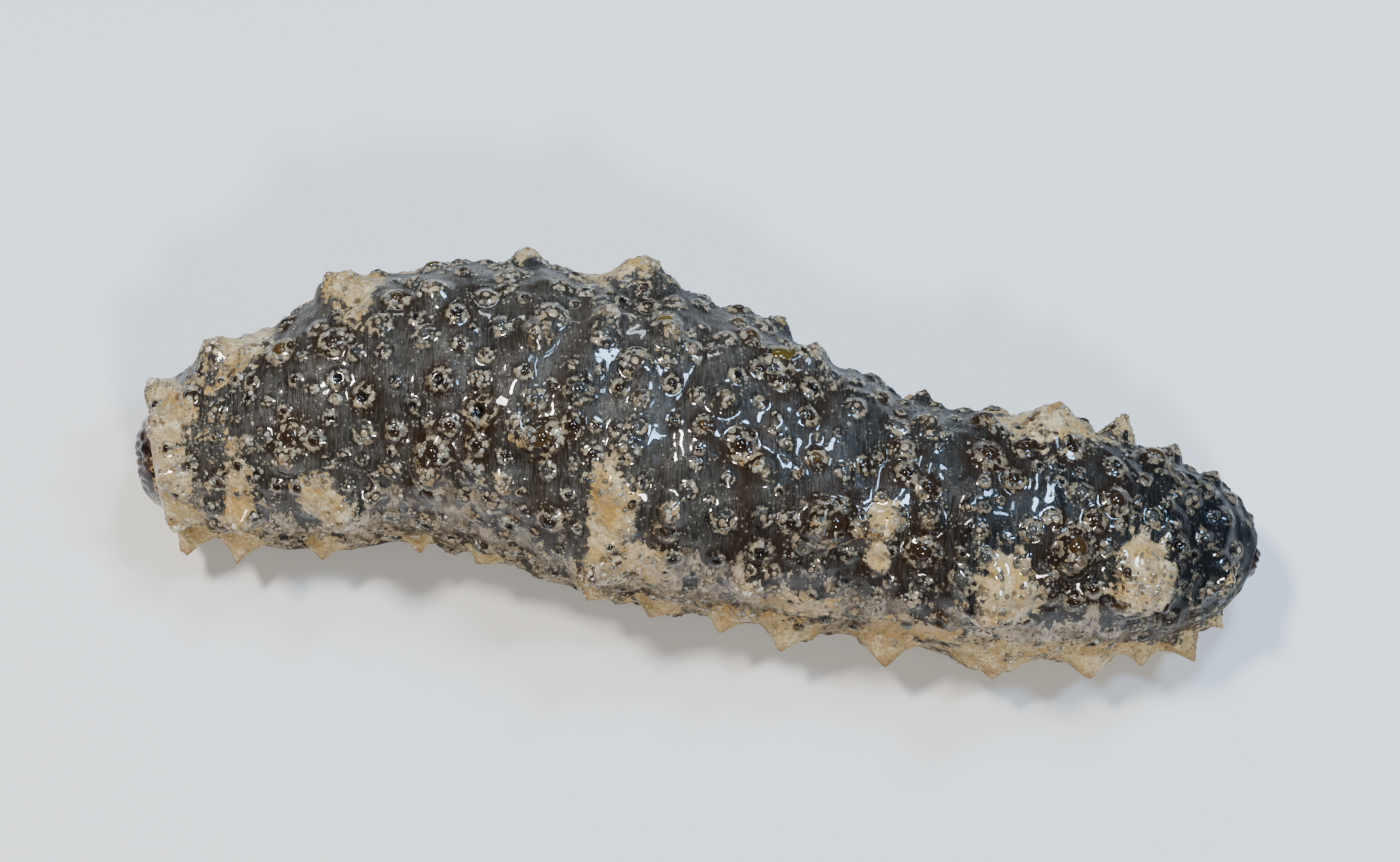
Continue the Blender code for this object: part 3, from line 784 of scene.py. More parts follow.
def spunTemplate(profile, sides, middle=0.0):
    # vertices and triangles of an open shape spun from heights and radii
    bm = bmesh.new()
    points = [bm.verts.new((radius, 0, height)) for height, radius in profile]
    edges = [bm.edges.new(pair) for pair in zip(points, points[1:])]
    bmesh.ops.spin(bm, geom=points + edges, cent=(0, 0, 0), axis=(0, 0, 1), angle=2 * math.pi,
                   steps=sides, use_merge=True)
    bmesh.ops.remove_doubles(bm, verts=bm.verts, dist=1e-5)
    bmesh.ops.triangulate(bm, faces=bm.faces)
    bmesh.ops.recalc_face_normals(bm, faces=bm.faces)
    bm.verts.index_update()
    vertices = np.array([vert.co for vert in bm.verts])
    faces = np.array([[vert.index for vert in face.verts] for face in bm.faces])
    bm.free()
    # each triangle from its lowest corner and in order, because Blender lists them differently each run
    faces = np.array([np.roll(face, -face.argmin()) for face in faces])
    faces = faces[np.lexsort(faces.T[::-1])]
    corners = vertices[faces]
    way = np.cross(corners[:, 1] - corners[:, 0], corners[:, 2] - corners[:, 0])
    outward = corners.mean(axis=1) - np.array([0, 0, middle])
    if (way * outward).sum() < 0:
        faces = faces[:, ::-1]
    return vertices, faces


def domeTemplate(sides, rings):
    # a dome of radius 1, standing on z = 0 with a short skirt below
    turns = [math.radians(-domeSkirt + (90 + domeSkirt) * k / rings) for k in range(rings + 1)]
    return spunTemplate([(math.sin(turn), math.cos(turn)) for turn in turns], sides)


def joinBeads(name, template, beads):
    # one mesh of many copies of the template, each with its colour and its place on the map
    vertices, faces = template
    count = len(beads["place"])
    # two directions across each bead's own normal, turned at random
    helper = np.where(np.abs(beads["normal"][:, :1]) > 0.9, [[0.0, 1.0, 0.0]], [[1.0, 0.0, 0.0]])
    side = unit(np.cross(beads["normal"], helper))
    other = np.cross(beads["normal"], side)
    turn = beads["turn"][:, None]
    right = side * np.cos(turn) + other * np.sin(turn)
    front = other * np.cos(turn) - side * np.sin(turn)
    scaled = vertices[None] * beads["size"][:, None]
    points = (
        scaled[:, :, :1] * right[:, None] + scaled[:, :, 1:2] * front[:, None]
        + scaled[:, :, 2:] * beads["normal"][:, None] + beads["place"][:, None]
    )
    allFaces = (faces[None] + np.arange(count)[:, None, None] * len(vertices)).reshape(-1, 3)
    mesh = bpy.data.meshes.new(name)
    mesh.vertices.add(count * len(vertices))
    mesh.vertices.foreach_set("co", points.astype(np.float32).ravel())
    mesh.loops.add(len(allFaces) * 3)
    mesh.loops.foreach_set("vertex_index", allFaces.astype(np.int32).ravel())
    mesh.polygons.add(len(allFaces))
    mesh.polygons.foreach_set("loop_start", np.arange(len(allFaces), dtype=np.int32) * 3)
    mesh.update(calc_edges=True)
    setTint(mesh, np.repeat(beads["colour"], len(vertices), axis=0))
    spots = np.repeat(beads["map"], len(vertices), axis=0)
    spots = spots + np.tile(vertices[:, :2], (count, 1)) * granules["mapPatch"] / 2
    layer = mesh.uv_layers.new(name="OFBake")
    layer.data.foreach_set("uv", spots[allFaces.ravel()].astype(np.float32).ravel())
    mesh.shade_smooth()
    return newObject(name, mesh)


def skinMap(station, angle):
    # places on the skin as u and v
    stations, shares, lengths = bodyProfile()
    angles, rounds = angleSteps()
    whole = shares >= 1.0
    u = np.interp(station, stations[whole], lengths[whole])
    return np.column_stack([u, np.interp(angle, angles, rounds)])


def onSkin(tree, station, angle):
    # the raised skin's points and normals over places of the plain skin
    start = plainSkin(station, angle)
    outward = plainNormal(station, angle)
    places = start.copy()
    normals = outward.copy()
    for k in range(len(start)):
        hit = tree.ray_cast(Vector(start[k] + outward[k] * 5 * mm), Vector(-outward[k]), 9 * mm)
        if hit[0] is not None:
            places[k] = hit[0]
            normals[k] = hit[1]
    return places, unit(normals + 0.6 * outward)


def setBeads(tree, rng, rows, stretch, sunk):
    # the table that joinBeads reads, from rows of station, angle, radius and colour
    size = rows[:, 2:3] * stretch
    place, normal = onSkin(tree, rows[:, 0], rows[:, 1])
    return {
        "place": place - normal * size[:, 2:] * sunk,
        "normal": normal,
        "size": size,
        "turn": np.array([rng.uniform(0, 6.28) for _ in rows]),
        "colour": np.clip(rows[:, 3:], 0, 1),
        "map": skinMap(rows[:, 0], rows[:, 1]),
    }


def aroundPlace(station, angle, distance, direction):
    # the station and angle this far off over the skin
    width = float(alongBody(station, 2)) + 2 * mm
    turn = math.degrees(distance * math.sin(direction) / width)
    return station + distance * math.cos(direction), angle + turn


def crownRows(rng, station, angle, radius):
    # grains heaped on the upper part of a papilla
    rows = []
    for _ in range(round(crowns["perMm"] * radius / mm)):
        direction = rng.uniform(0, 2 * math.pi)
        distance = radius * crowns["reach"] * rng.random() ** 0.8
        size = rng.uniform(*crowns["radius"]) * mm
        colour = pickFrom(rng, crowns["colours"])[1]
        rows.append((*aroundPlace(station, angle, distance, direction), size, *colour))
    return rows


def ringRows(rng, station, angle, radius):
    # grains in a broken ring round a wart
    rows = []
    middle, change = granules["fullness"]
    base, more = granules["sizeByWart"]
    count = round(2 * math.pi * radius / granules["room"] * granules["layers"])
    keep = rng.uniform(*granules["keep"])
    fullest = rng.uniform(0, 2 * math.pi)  # the ring is broken on the other side
    for _ in range(count):
        direction = rng.uniform(0, 2 * math.pi)
        if rng.random() > keep * (middle + change * math.cos(direction - fullest)):
            continue
        distance = radius * rng.triangular(*granules["ring"])
        size = rng.uniform(*granules["radius"]) * mm * (base + more * radius / mm)
        colour = pickFrom(rng, granules["colours"])[1]
        rows.append((*aroundPlace(station, angle, distance, direction), size, *colour))
    return rows


def looseRows(rng):
    # single grains where the dust lies, paler on beige skin
    rows = []
    edge = granules["looseAngle"]
    tries = [(rng.uniform(body["headEnd"], body["tailEnd"]), rng.uniform(-edge, edge), rng.random())
             for _ in range(granules["looseTries"])]
    stations, angles, _ = np.array(tries).T
    base = plainSkin(stations, angles)
    inside = smoothStep(0.65, 1.0, patchField(base))
    chances = dustField(base, stations, angles) * (1 - 0.8 * inside)
    for (station, angle, draw), chance, onPatch in zip(tries, chances, inside):
        if draw >= chance * (1 - bareness(station)):
            continue
        size = rng.triangular(*granules["looseRadius"]) * mm
        bright = rng.uniform(*granules["looseBright"])
        colour = pickFrom(rng, granules["colours"])[1]
        if onPatch > 0.3 or abs(angle) > warts["paleBeyond"]:
            bright = 0.7 + 0.4 * bright
            colour = granules["onPale"]
        rows.append((station, angle, size, *(bright * value for value in colour)))
    return rows


def growGranules(tree, wartList, papillaList):
    rng = random.Random(granules["seed"])
    rows = []
    for wart in wartList:
        rows += ringRows(rng, wart["station"], wart["angle"], wart["radius"])
    rows += looseRows(rng)
    for station, angle, _, radius in papillaList:
        if paleness(angle) < 1.0:
            rows += crownRows(rng, station, angle, radius)
    rows = np.array(rows)
    atHead, atTail = granules["clearOfEnds"]
    rows[:, 0] = np.clip(rows[:, 0], body["headEnd"] + atHead, body["tailEnd"] - atTail)
    rows = rows[np.argsort(rows[:, 0])]
    stretch = np.array([[rng.uniform(*limits) for limits in granules["stretch"]] for _ in rows])
    bright = np.array([rng.uniform(*granules["bright"]) for _ in rows])
    for share, start, full in granules["shading"]:
        bright *= 1 + (share - 1) * smoothStep(start * mm, full * mm, rows[:, 0])
    bright *= 1 + granules["flankBright"] * paleFlank(rows[:, 0], rows[:, 1])
    rows[:, 3:] *= bright[:, None]
    return setBeads(tree, rng, rows, stretch, granules["sunk"])


def partOfBeads(beads, k, pieces):
    # one of several equal runs along the body
    cuts = np.linspace(0, len(beads["place"]), pieces + 1).astype(int)
    return {label: values[cuts[k]:cuts[k + 1]] for label, values in beads.items()}


def growWartTips(tree, wartList):
    rng = random.Random(warts["seed"] + 1)
    rows = []
    for wart in wartList:
        kind = wart["kind"]
        if kind == "pit":
            continue
        radius = wart["radius"] * wartTips["share"][kind] * rng.uniform(*wartTips["uneven"])
        bright = rng.uniform(*wartTips["bright"])
        colour = [value * bright for value in wartColours[kind]]
        rows.append((wart["station"], wart["angle"], radius, *colour))
        if rng.random() < wartTips["second"]:
            beside = aroundPlace(wart["station"], wart["angle"], radius, rng.uniform(0, 2 * math.pi))
            rows.append((*beside, radius * wartTips["secondSize"], *colour))
    rows = np.array(rows)
    wide = wartTips["stretch"]
    stretch = np.array([[rng.uniform(*wide), rng.uniform(*wide), wartTips["height"]] for _ in rows])
    return setBeads(tree, rng, rows, stretch, wartTips["sunk"])


# Mouth, vent and tube feet

mouth = {
    "rows": 80,
    "columns": 240,
    # mm past the head end and share of the section, from the back of the disc to its middle
    "rings": [(-1.4, 0.0), (-1.4, 0.60), (-1.2, 0.74), (-0.5, 0.778), (0.2, 0.770), (1.0, 0.68), (1.6, 0.53),
              (1.85, 0.37), (1.7, 0.24), (1.1, 0.12), (0.4, 0.0)],
    "folds": 18,
    "foldHeight": 0.34 * mm,
    "foldMiddle": 0.6,
    "foldPower": 0.6,
    "foldWander": 0.35,
    "wanderSize": 2.2 * mm,
    "budHeight": 0.16 * mm,
    "budSize": 0.8 * mm,
    "rimGrains": 0.14,
}
vent = {
    "rows": 36,
    "columns": 90,
    "rings": [(-1.6, 0.0), (-1.5, 0.32), (-1.3, 0.36), (-0.5, 0.40), (0.0, 0.42), (0.35, 0.36), (0.5, 0.28),
              (0.42, 0.18), (0.1, 0.10), (-0.2, 0.0)],
    "folds": 9,
    "foldHeight": 0.09 * mm,
    "rimGrains": -0.10,
}


def endDisc(name, disc, end, outwards, standOut):
    # a closed disc in an end of the body: standOut gives how far its folds reach
    def place(u, v):
        line = np.array(disc["rings"])
        steps = np.hypot(np.diff(line[:, 0]), np.diff(line[:, 1] * 6.0))
        lengths = np.concatenate([[0], np.cumsum(steps)])
        lengths /= lengths[-1]
        station = end + outwards * np.interp(u, lengths, line[:, 0]) * mm
        angle = v * 360 - 180
        points = plainSkin(station, angle, np.interp(u, lengths, line[:, 1]))
        points[:, 0] += outwards * standOut(points, np.radians(angle), u)
        return points

    return wrappedGrid(name, disc["rows"], disc["columns"], place)


def mouthFolds(points, angle, u):
    wander = mouth["foldWander"] * noiseAt(points, mouth["wanderSize"], 41)
    fold = np.abs(np.cos(angle * mouth["folds"] / 2 + wander)) ** mouth["foldPower"]
    front = smoothStep(0.50, 0.72, u) * smoothStep(1.0, 0.88, u)
    buds = noiseAt(points, mouth["budSize"], 42) * smoothStep(0.50, 0.60, u)
    return front * (fold - mouth["foldMiddle"]) * mouth["foldHeight"] + buds * mouth["budHeight"]


def ventFolds(_, angle, u):
    front = smoothStep(0.5, 0.66, u) * smoothStep(1.0, 0.8, u)
    return front * np.cos(angle * vent["folds"]) * vent["foldHeight"]


tubeFeet = {
    "seed": 29,
    "bands": [-0.60, -0.06, 0.60],  # share of the half width
    "bandWidth": 0.17,
    "perBand": 120,
    "start": 5 * mm,  # from the head end
    "shorter": 11 * mm,  # than the body
    "radius": (0.30, 0.42),
    "root": 0.9 * mm,
    # share of the height and of the radius, from the disc up
    "profile": [(0.0, 0.0), (0.0, 1.45), (0.08, 1.6), (0.18, 1.4), (0.28, 1.0), (0.6, 1.0), (1.0, 1.3)],
    "sides": 10,
    "colour": (0.30, 0.25, 0.19),
    "uneven": (0.85, 1.15),
}


def growFeet():
    rng = random.Random(tubeFeet["seed"])
    length = body["tailEnd"] - body["headEnd"] - tubeFeet["shorter"]
    places = []
    sizes = []
    maps = []
    for band in tubeFeet["bands"]:
        for k in range(tubeFeet["perBand"]):
            t = (k + rng.uniform(0.2, 0.8)) / tubeFeet["perBand"]
            station = body["headEnd"] + tubeFeet["start"] + length * t
            share = band + rng.uniform(-1, 1) * tubeFeet["bandWidth"]
            place = np.array([station, float(alongBody(station, 1)), 0.0])
            place += sideways(np.array(station)) * float(alongBody(station, 2)) * share
            places.append(place - np.array([*body["wholeMiddle"], 0.0]))
            radius = rng.uniform(*tubeFeet["radius"]) * mm
            sizes.append((radius, radius, float(alongBody(station, 3)) + tubeFeet["root"]))
            maps.append((station, math.copysign(180 - 45 * abs(share), -share)))
    red, green, blue = tubeFeet["colour"]
    return {
        "place": np.array(places),
        "normal": np.tile([0.0, 0.0, 1.0], (len(places), 1)),
        "size": np.array(sizes),
        "turn": np.array([rng.uniform(0, 6.28) for _ in places]),
        "colour": np.array([(red * rng.uniform(*tubeFeet["uneven"]), green, blue) for _ in places]),
        "map": skinMap(*np.array(maps).T),
    }


# Materials


def plug(tree, socket, value):
    if isinstance(value, bpy.types.NodeSocket):
        tree.links.new(value, socket)
    else:
        socket.default_value = value


def addNode(tree, kind, inputs=None, **settings):
    node = tree.nodes.new(kind)
    for label, value in settings.items():
        setattr(node, label, value)
    for label, value in (inputs or {}).items():
        plug(tree, node.inputs[label], value)
    return node


def mixColour(tree, factor, *colours):
    first, second = [(*value, 1) if isinstance(value, tuple) else value for value in colours]
    return addNode(tree, "ShaderNodeMix", {0: factor, 6: first, 7: second}, data_type="RGBA").outputs[2]


def calculate(tree, operation, *values):
    return addNode(tree, "ShaderNodeMath", dict(enumerate(values)), operation=operation).outputs[0]


def times(tree, first, second):
    return calculate(tree, "MULTIPLY", first, second)


def cover(tree, colour, mask, newColour, amount):
    # lays another colour over this one where the mask is 1
    return mixColour(tree, times(tree, mask, amount), colour, newColour)


def ramp(tree, value, low, high, toLow=0.0, toHigh=1.0):
    inputs = {"Value": value, "From Min": low, "From Max": high, "To Min": toLow, "To Max": toHigh}
    return addNode(tree, "ShaderNodeMapRange", inputs, interpolation_type="SMOOTHSTEP").outputs["Result"]


def noiseNode(tree, place, size, detail=3.0, roughness=0.55):
    inputs = {"Vector": place, "Scale": 1 / size, "Detail": detail, "Roughness": roughness}
    return addNode(tree, "ShaderNodeTexNoise", inputs).outputs["Fac"]


def clouds(tree, place, size, low, high, detail=3.0, roughness=0.55):
    # soft patches of about this size
    return ramp(tree, noiseNode(tree, place, size, detail, roughness), low, high)


def cells(tree, place, scale, channel):
    # the distance from the middle of each small cell, and one random value for the whole cell
    node = addNode(tree, "ShaderNodeTexVoronoi", {"Vector": place, "Scale": scale})
    tone = addNode(tree, "ShaderNodeSeparateColor", {"Color": node.outputs["Color"]})
    return node.outputs["Distance"], tone.outputs[channel]


def attribute(tree, label, output="Fac"):
    return addNode(tree, "ShaderNodeAttribute", attribute_name=label).outputs[output]


def newGroup(name, values):
    # a node group that makes a colour and a height from a place and some values
    tree = bpy.data.node_groups.new(name, "ShaderNodeTree")
    tree.interface.new_socket("Place", in_out="INPUT", socket_type="NodeSocketVector")
    for label, value in values.items():
        tree.interface.new_socket(label, in_out="INPUT", socket_type="NodeSocketFloat").default_value = value
    tree.interface.new_socket("Color", in_out="OUTPUT", socket_type="NodeSocketColor")
    tree.interface.new_socket("Height", in_out="OUTPUT", socket_type="NodeSocketFloat")
    return tree, tree.nodes.new("NodeGroupInput").outputs, tree.nodes.new("NodeGroupOutput").inputs


flesh = {
    "inputs": {"Far": 0.0, "Crease": 0.0, "Hind": 0.0, "Halo": 0.0, "Tail": 0.0, "Flank": 0.0,
               "Ring": farFromWarts},
    # the two tones of the mottling, the crust and the hairlines
    "front": ((0.034, 0.0295, 0.0240), (0.073, 0.0650, 0.0545)),
    "hind": ((0.0105, 0.0108, 0.0102), (0.0255, 0.0255, 0.0240)),
    "crustTones": ((0.160, 0.122, 0.084), (0.45, 0.360, 0.245)),
    "lines": ((0.108, 0.100, 0.086), (0.064, 0.065, 0.062)),
    # the colour of each layer over them, and how much of it
    "flank": ((0.040, 0.030, 0.031), 0.60),
    "fine": ((0.008, 0.006, 0.005), 0.45),
    "crust": 0.90,
    # far: painted shade, a dark violet grey over the far upper side
    "far": ((0.017, 0.013, 0.0165), 0.75),
    # shade: painted shade in a ring round each wart
    "shade": ((0.007, 0.0055, 0.005), 0.50),
    # brown: over the creases and round the dark warts, partly the skin's own brown and partly painted shade
    "brown": ((0.026, 0.012, 0.004), 0.72),
    "speck": ((0.25, 0.225, 0.17), 0.55),
    "tail": ((0.005, 0.0073, 0.0100), 0.76),
}


def makeFleshGroup():
    # dark flesh: fine hairlines across the body, mottling and pale specks, from Object coordinates, with
    # painted shade on the far upper side and round each wart, and partly in the creases
    tree, entry, leave = newGroup("darkFlesh", flesh["inputs"])
    place = entry["Place"]
    wander = addNode(tree, "ShaderNodeTexNoise", {"Vector": place, "Scale": 260.0, "Detail": 1.0})
    bent = addNode(tree, "ShaderNodeVectorMath", {0: wander.outputs["Color"], 1: (0.0012, 0.0, 0.0)},
                   operation="MULTIPLY")
    moved = addNode(tree, "ShaderNodeVectorMath", {0: place, 1: bent.outputs[0]}, operation="ADD")
    stretched = addNode(tree, "ShaderNodeMapping", {"Vector": moved.outputs[0], "Scale": (6600, 520, 520)})
    lines = addNode(tree, "ShaderNodeTexNoise", {"Vector": stretched.outputs[0], "Scale": 1.0, "Detail": 2.0})
    line = ramp(tree, lines.outputs["Fac"], 0.44, 0.66)
    mottle = clouds(tree, place, 5.5 * mm, 0.35, 0.65)
    front = mixColour(tree, mottle, *flesh["front"])
    hind = mixColour(tree, mottle, *flesh["hind"])
    colour = mixColour(tree, entry["Hind"], front, hind)
    colour = cover(tree, colour, entry["Flank"], *flesh["flank"])
    colour = cover(tree, colour, clouds(tree, place, 0.55 * mm, 0.35, 0.7, 2.0), *flesh["fine"])
    # crust: beige islands on the lower sides
    steep = addNode(tree, "ShaderNodeMapping", {"Vector": place, "Scale": (1.0, 0.65, 0.38)}).outputs[0]
    reach = calculate(tree, "MULTIPLY_ADD", entry["Flank"], 0.20, noiseNode(tree, steep, 1.9 * mm, 5.0, 0.66))
    crust = times(tree, ramp(tree, reach, 0.605, 0.625), ramp(tree, entry["Flank"], 0.0, 0.15))
    crustTone = clouds(tree, steep, 0.55 * mm, 0.36, 0.62, 4.0, 0.7)
    colour = cover(tree, colour, crust, mixColour(tree, crustTone, *flesh["crustTones"]), flesh["crust"])
    # painted shade over the far upper side
    colour = cover(tree, colour, entry["Far"], *flesh["far"])
    # painted shade round each wart: full within 1.5 of its radii, gone by 2.3
    colour = cover(tree, colour, ramp(tree, entry["Ring"], 2.3, 1.5), *flesh["shade"])
    drawn = times(tree, line, ramp(tree, entry["Flank"], 0.0, 1.0, 0.42, 0.08))
    colour = mixColour(tree, drawn, colour, mixColour(tree, entry["Hind"], *flesh["lines"]))
    # brown in the creases and round the dark warts: partly the skin's own brown, partly painted shade
    brown = calculate(tree, "MAXIMUM", entry["Crease"], times(tree, entry["Halo"], 0.9))
    colour = cover(tree, colour, brown, *flesh["brown"])
    distance, tone = cells(tree, place, 2300.0, 0)
    speck = times(tree, ramp(tree, distance, 0.40, 0.22), calculate(tree, "GREATER_THAN", tone, 0.52))
    speck = times(tree, speck, clouds(tree, place, 2.4 * mm, 0.42, 0.62))
    colour = cover(tree, colour, speck, *flesh["speck"])
    colour = cover(tree, colour, entry["Tail"], *flesh["tail"])
    plug(tree, leave["Color"], colour)
    plug(tree, leave["Height"], calculate(tree, "ADD", times(tree, line, 0.35), times(tree, speck, 0.9)))
    return tree


beige = {
    "tones": ((0.30, 0.212, 0.103), (0.44, 0.345, 0.195)),
    # colour and amount
    "cream": ((0.57, 0.495, 0.340), 0.65),
    "stain": ((0.13, 0.090, 0.050), 0.60),
    "ochre": ((0.36, 0.215, 0.062), 0.65),
    # gap: painted shade in the low gaps between the fine grains
    "gap": ((0.16, 0.105, 0.055), 0.40),
    # pit: painted shade in the small dips of the patches
    "pit": ((0.070, 0.040, 0.020), 0.75),
}


def makeBeigeGroup():
    # the pale patches' colour: beige, ochre and cream in soft clouds with fine grains, and painted shade in
    # the gaps between the grains and in small dips
    tree, entry, leave = newGroup("paleFlesh", {"Calm": 0.0})
    place = entry["Place"]
    lively = ramp(tree, entry["Calm"], 0.0, 1.0, 1.0, 0.22)
    grain = addNode(tree, "ShaderNodeTexVoronoi", {"Vector": place, "Scale": 2900.0}).outputs["Distance"]
    colour = mixColour(tree, clouds(tree, place, 2.6 * mm, 0.36, 0.66), *beige["tones"])
    colour = cover(tree, colour, clouds(tree, place, 1.1 * mm, 0.50, 0.70), *beige["cream"])
    stain = times(tree, clouds(tree, place, 0.9 * mm, 0.50, 0.66, 4.0, 0.7), lively)
    colour = cover(tree, colour, stain, *beige["stain"])
    ochre = times(tree, clouds(tree, place, 3.1 * mm, 0.50, 0.62), lively)
    colour = cover(tree, colour, ochre, *beige["ochre"])
    # darker in the low gaps between the grains: painted shade
    colour = cover(tree, colour, ramp(tree, grain, 0.42, 0.75), *beige["gap"])
    # small dips, dug in by the height below and darkened with painted shade
    distance, tone = cells(tree, place, 520.0, 1)
    pit = times(tree, ramp(tree, distance, 0.26, 0.14), ramp(tree, tone, 0.5, 0.52))
    pit = times(tree, pit, lively)
    colour = cover(tree, colour, pit, *beige["pit"])
    height = calculate(tree, "SUBTRACT", 1.0, grain)
    height = calculate(tree, "MULTIPLY_ADD", noiseNode(tree, place, 0.8 * mm), 3.0, height)
    plug(tree, leave["Color"], colour)
    plug(tree, leave["Height"], calculate(tree, "SUBTRACT", height, times(tree, pit, 2.0)))
    return tree


def wetMaterial(name, roughness=0.30, specular=0.06):
    # a material under a film of water, with its tree, its shader and the Object coordinates
    material = bpy.data.materials.new(name)
    material.use_nodes = True
    tree = material.node_tree
    shader = tree.nodes["Principled BSDF"].inputs
    shader["Roughness"].default_value = roughness
    shader["Coat Weight"].default_value = 1.0
    shader["Coat Roughness"].default_value = 0.05
    shader["Coat IOR"].default_value = 1.45
    shader["Specular IOR Level"].default_value = specular
    return material, tree, shader, tree.nodes.new("ShaderNodeTexCoord").outputs["Object"]


def addBump(tree, shader, height, strength, distance):
    bump = addNode(tree, "ShaderNodeBump", {"Height": height, "Strength": strength, "Distance": distance})
    plug(tree, shader["Normal"], bump.outputs["Normal"])


skinFinish = {
    "specular": 0.11,
    # the attributes that it reads
    "marks": ["far", "crease", "hind", "halo", "tail", "flank", "ring", "calm", "patch", "tip", "sole",
              "wet"],
    "ring": ((0.305, 0.265, 0.200), 0.60),  # the grains round a wart are creamier than the patches
    "wart": 0.9,
    "tip": ((0.17, 0.090, 0.050), 0.55),
    "sole": ((0.085, 0.066, 0.050), (0.24, 0.185, 0.130)),
}


def skinMaterial(fleshGroup, beigeGroup):
    material, tree, shader, place = wetMaterial("wetSkin", specular=skinFinish["specular"])
    marks = {label: attribute(tree, label) for label in skinFinish["marks"]}
    fleshMarks = {label: marks[label.lower()] for label in flesh["inputs"]}
    dark = addNode(tree, "ShaderNodeGroup", {"Place": place, **fleshMarks}, node_tree=fleshGroup).outputs
    paleInputs = {"Place": place, "Calm": marks["calm"]}
    pale = addNode(tree, "ShaderNodeGroup", paleInputs, node_tree=beigeGroup).outputs
    # patches, with edges broken into grains
    ragged = noiseNode(tree, place, 1.5 * mm, 4.0, 0.65)
    _, tone = cells(tree, place, 1900.0, 0)
    edge = calculate(tree, "MULTIPLY_ADD", ragged, 1.5, marks["patch"])
    edge = calculate(tree, "MULTIPLY_ADD", tone, 0.45, edge)
    edge = calculate(tree, "MULTIPLY_ADD", marks["calm"], 0.40, edge)
    patch = ramp(tree, edge, 1.38, 1.64)
    # grains round each wart, fewer towards the tail
    uneven = calculate(tree, "SUBTRACT", marks["ring"], 0.65)
    uneven = calculate(tree, "MULTIPLY_ADD", noiseNode(tree, place, 0.7 * mm, 2.0), 1.3, uneven)
    collar = times(tree, ramp(tree, uneven, 0.55, 0.80), ramp(tree, uneven, 1.60, 1.10))
    broken = calculate(tree, "ADD", tone, times(tree, ragged, 0.8))
    collar = times(tree, collar, ramp(tree, broken, 0.90, 1.06))
    collar = times(tree, collar, ramp(tree, marks["hind"], 0.0, 1.0, 0.80, 0.58))
    collar = times(tree, collar, ramp(tree, marks["tail"], 0.0, 1.0, 1.0, 0.70))
    covered = calculate(tree, "MAXIMUM", patch, collar)
    offPatch = calculate(tree, "SUBTRACT", 1.0, patch)
    paleColour = cover(tree, pale["Color"], offPatch, *skinFinish["ring"])
    colour = mixColour(tree, covered, dark["Color"], paleColour)
    tint = attribute(tree, "tint", "Color")
    # each wart's tint in its middle; in a pit wart it is near black, painted shade in the hole
    colour = cover(tree, colour, ramp(tree, marks["ring"], 0.80, 0.45), tint, skinFinish["wart"])
    colour = cover(tree, colour, marks["tip"], *skinFinish["tip"])
    sole = mixColour(tree, clouds(tree, place, 1.4 * mm, 0.3, 0.7), *skinFinish["sole"])
    edge = calculate(tree, "MULTIPLY_ADD", ragged, 1.6, marks["sole"])
    plug(tree, shader["Base Color"], mixColour(tree, ramp(tree, edge, 1.15, 1.65, 0.0, 0.9), colour, sole))
    # wet on top, drier low down and on the grains
    rough = ramp(tree, marks["wet"], 0.0, 1.0, 0.58, 0.20)
    plug(tree, shader["Roughness"], calculate(tree, "MULTIPLY_ADD", covered, 0.12, rough))
    film = ramp(tree, noiseNode(tree, place, 4.5 * mm, 2.0), 0.36, 0.58, 0.35, 1.0)
    plug(tree, shader["Coat Weight"], times(tree, film, marks["wet"]))
    height = addNode(tree, "ShaderNodeMix", {0: covered, 2: dark["Height"], 3: pale["Height"]}).outputs[0]
    height = calculate(tree, "MULTIPLY_ADD", noiseNode(tree, place, 0.30 * mm, 2.0), 0.8, height)
    addBump(tree, shader, height, 0.7, 0.09 * mm)
    return material


def beadMaterial(name, roughness):
    # each bead in its own tint, a little cloudy
    material, tree, shader, place = wetMaterial(name, roughness)
    tone = ramp(tree, noiseNode(tree, place, 0.25 * mm, 2.0), 0.3, 0.7, 0.72, 1.15)
    tint = attribute(tree, "tint", "Color")
    scaled = addNode(tree, "ShaderNodeVectorMath", {0: tint, "Scale": tone}, operation="SCALE")
    plug(tree, shader["Base Color"], scaled.outputs[0])
    addBump(tree, shader, noiseNode(tree, place, 0.2 * mm), 0.4, 0.03 * mm)
    return material


discFinish = {"roughness": 0.28, "tones": ((0.013, 0.007, 0.006), (0.060, 0.036, 0.030))}


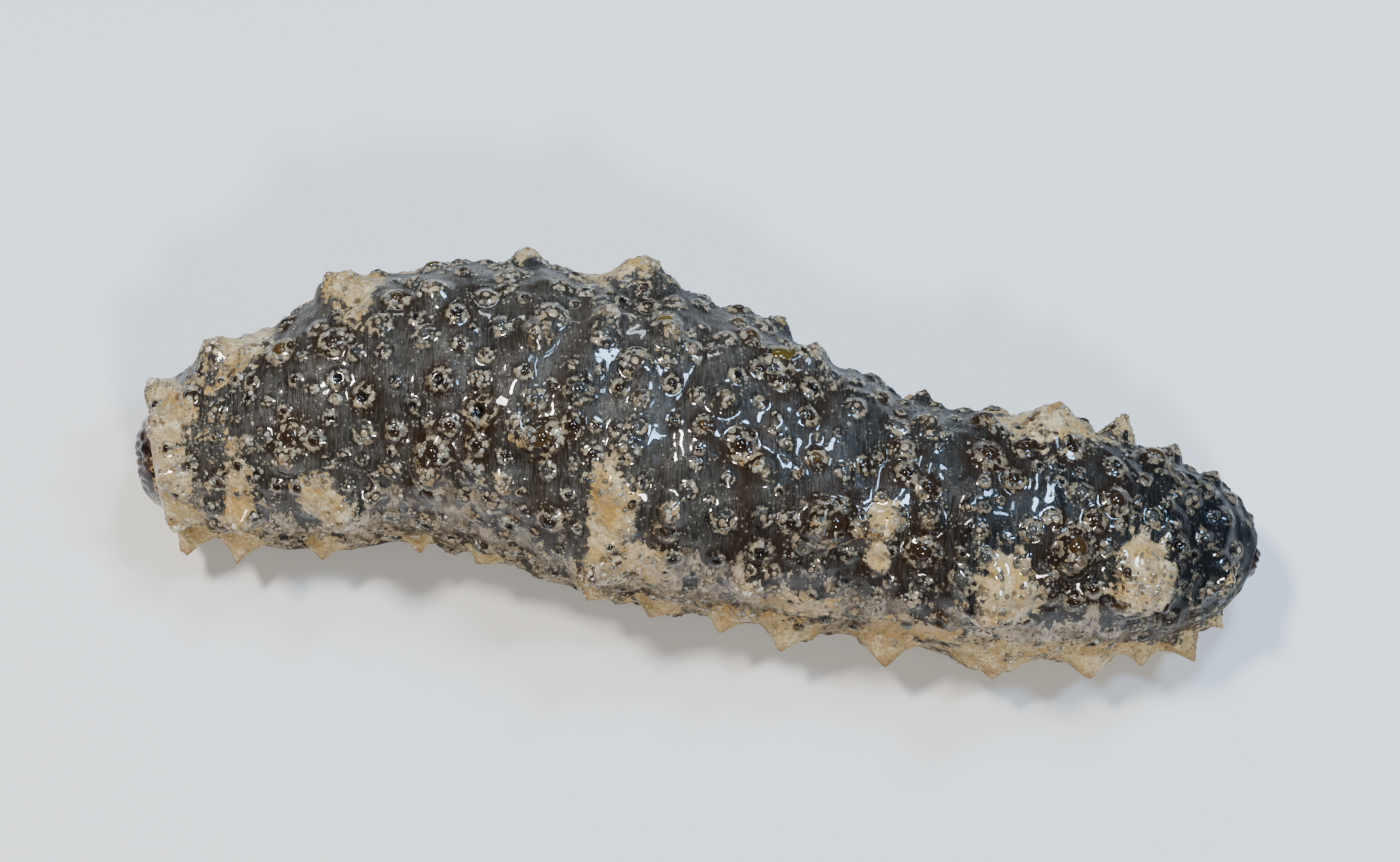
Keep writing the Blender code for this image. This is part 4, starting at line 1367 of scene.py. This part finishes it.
def discMaterial(name, beigeGroup, rimGrains):
    # dark purple brown, with pale grains towards the rim
    material, tree, shader, place = wetMaterial(name, discFinish["roughness"])
    colour = mixColour(tree, clouds(tree, place, 1.1 * mm, 0.35, 0.65), *discFinish["tones"])
    rim = ramp(tree, attribute(tree, "u"), 0.60, 0.48)
    ragged = noiseNode(tree, place, 0.6 * mm, 4.0, 0.7)
    grains = ramp(tree, calculate(tree, "MULTIPLY_ADD", rim, rimGrains, ragged), 0.61, 0.68)
    pale = addNode(tree, "ShaderNodeGroup", {"Place": place}, node_tree=beigeGroup).outputs
    plug(tree, shader["Base Color"], mixColour(tree, grains, colour, pale["Color"]))
    height = calculate(tree, "MULTIPLY_ADD", noiseNode(tree, place, 0.5 * mm), 2.0, pale["Height"])
    addBump(tree, shader, height, 0.6, 0.08 * mm)
    return material


def finishPiece(obj, material, slot, *nodes):
    obj.data.materials.append(material)
    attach(obj, "root")
    if nodes:
        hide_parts(*nodes)
    print(obj.name, len(obj.data.polygons), "faces")


def main():
    makeCamera()
    makeLight()
    makeFloor()
    print("camera, light and floor")
    rows = papillaRows()
    wartList = scatterWarts(rows)
    print(len(rows), "papillae,", len(wartList), "warts")
    fleshGroup = makeFleshGroup()
    beigeGroup = makeBeigeGroup()
    skinObject = wrappedGrid("skin", skin["rows"], skin["columns"], placeSkin)
    raiseSkin(skinObject, rows, wartList)
    finishPiece(skinObject, skinMaterial(fleshGroup, beigeGroup), "skin",
                "head", "body_front", "body_fore_middle", "body_hind_middle", "body_hind", "tail",
                "sole_front", "sole_middle", "sole_hind")
    mesh = skinObject.data
    points = [vert.co for vert in mesh.vertices]
    tree = BVHTree.FromPolygons(points, [face.vertices for face in mesh.polygons])
    beads = growGranules(tree, wartList, rows)
    grainMaterial = beadMaterial("paleGrains", 0.36)
    template = domeTemplate(*granules["dome"])
    for k in range(granules["pieces"]):
        run = partOfBeads(beads, k, granules["pieces"])
        finishPiece(joinBeads("granules" + str(k + 1), template, run), grainMaterial, "skin")
    tips = joinBeads("wartTips", domeTemplate(*wartTips["dome"]), growWartTips(tree, wartList))
    finishPiece(tips, beadMaterial("glassyTips", 0.16), "skin")
    mouthObject = endDisc("mouthDisc", mouth, body["headEnd"], -1, mouthFolds)
    finishPiece(mouthObject, discMaterial("wetMouth", beigeGroup, mouth["rimGrains"]), "mouth", "mouth")
    ventObject = endDisc("ventFolds", vent, body["tailEnd"], 1, ventFolds)
    finishPiece(ventObject, discMaterial("wetVent", beigeGroup, vent["rimGrains"]), "mouth", "vent")
    footTemplate = spunTemplate(tubeFeet["profile"], tubeFeet["sides"], 0.5)
    finishPiece(joinBeads("tubeFeet", footTemplate, growFeet()), beadMaterial("feetFlesh", 0.35), "sole")


main()
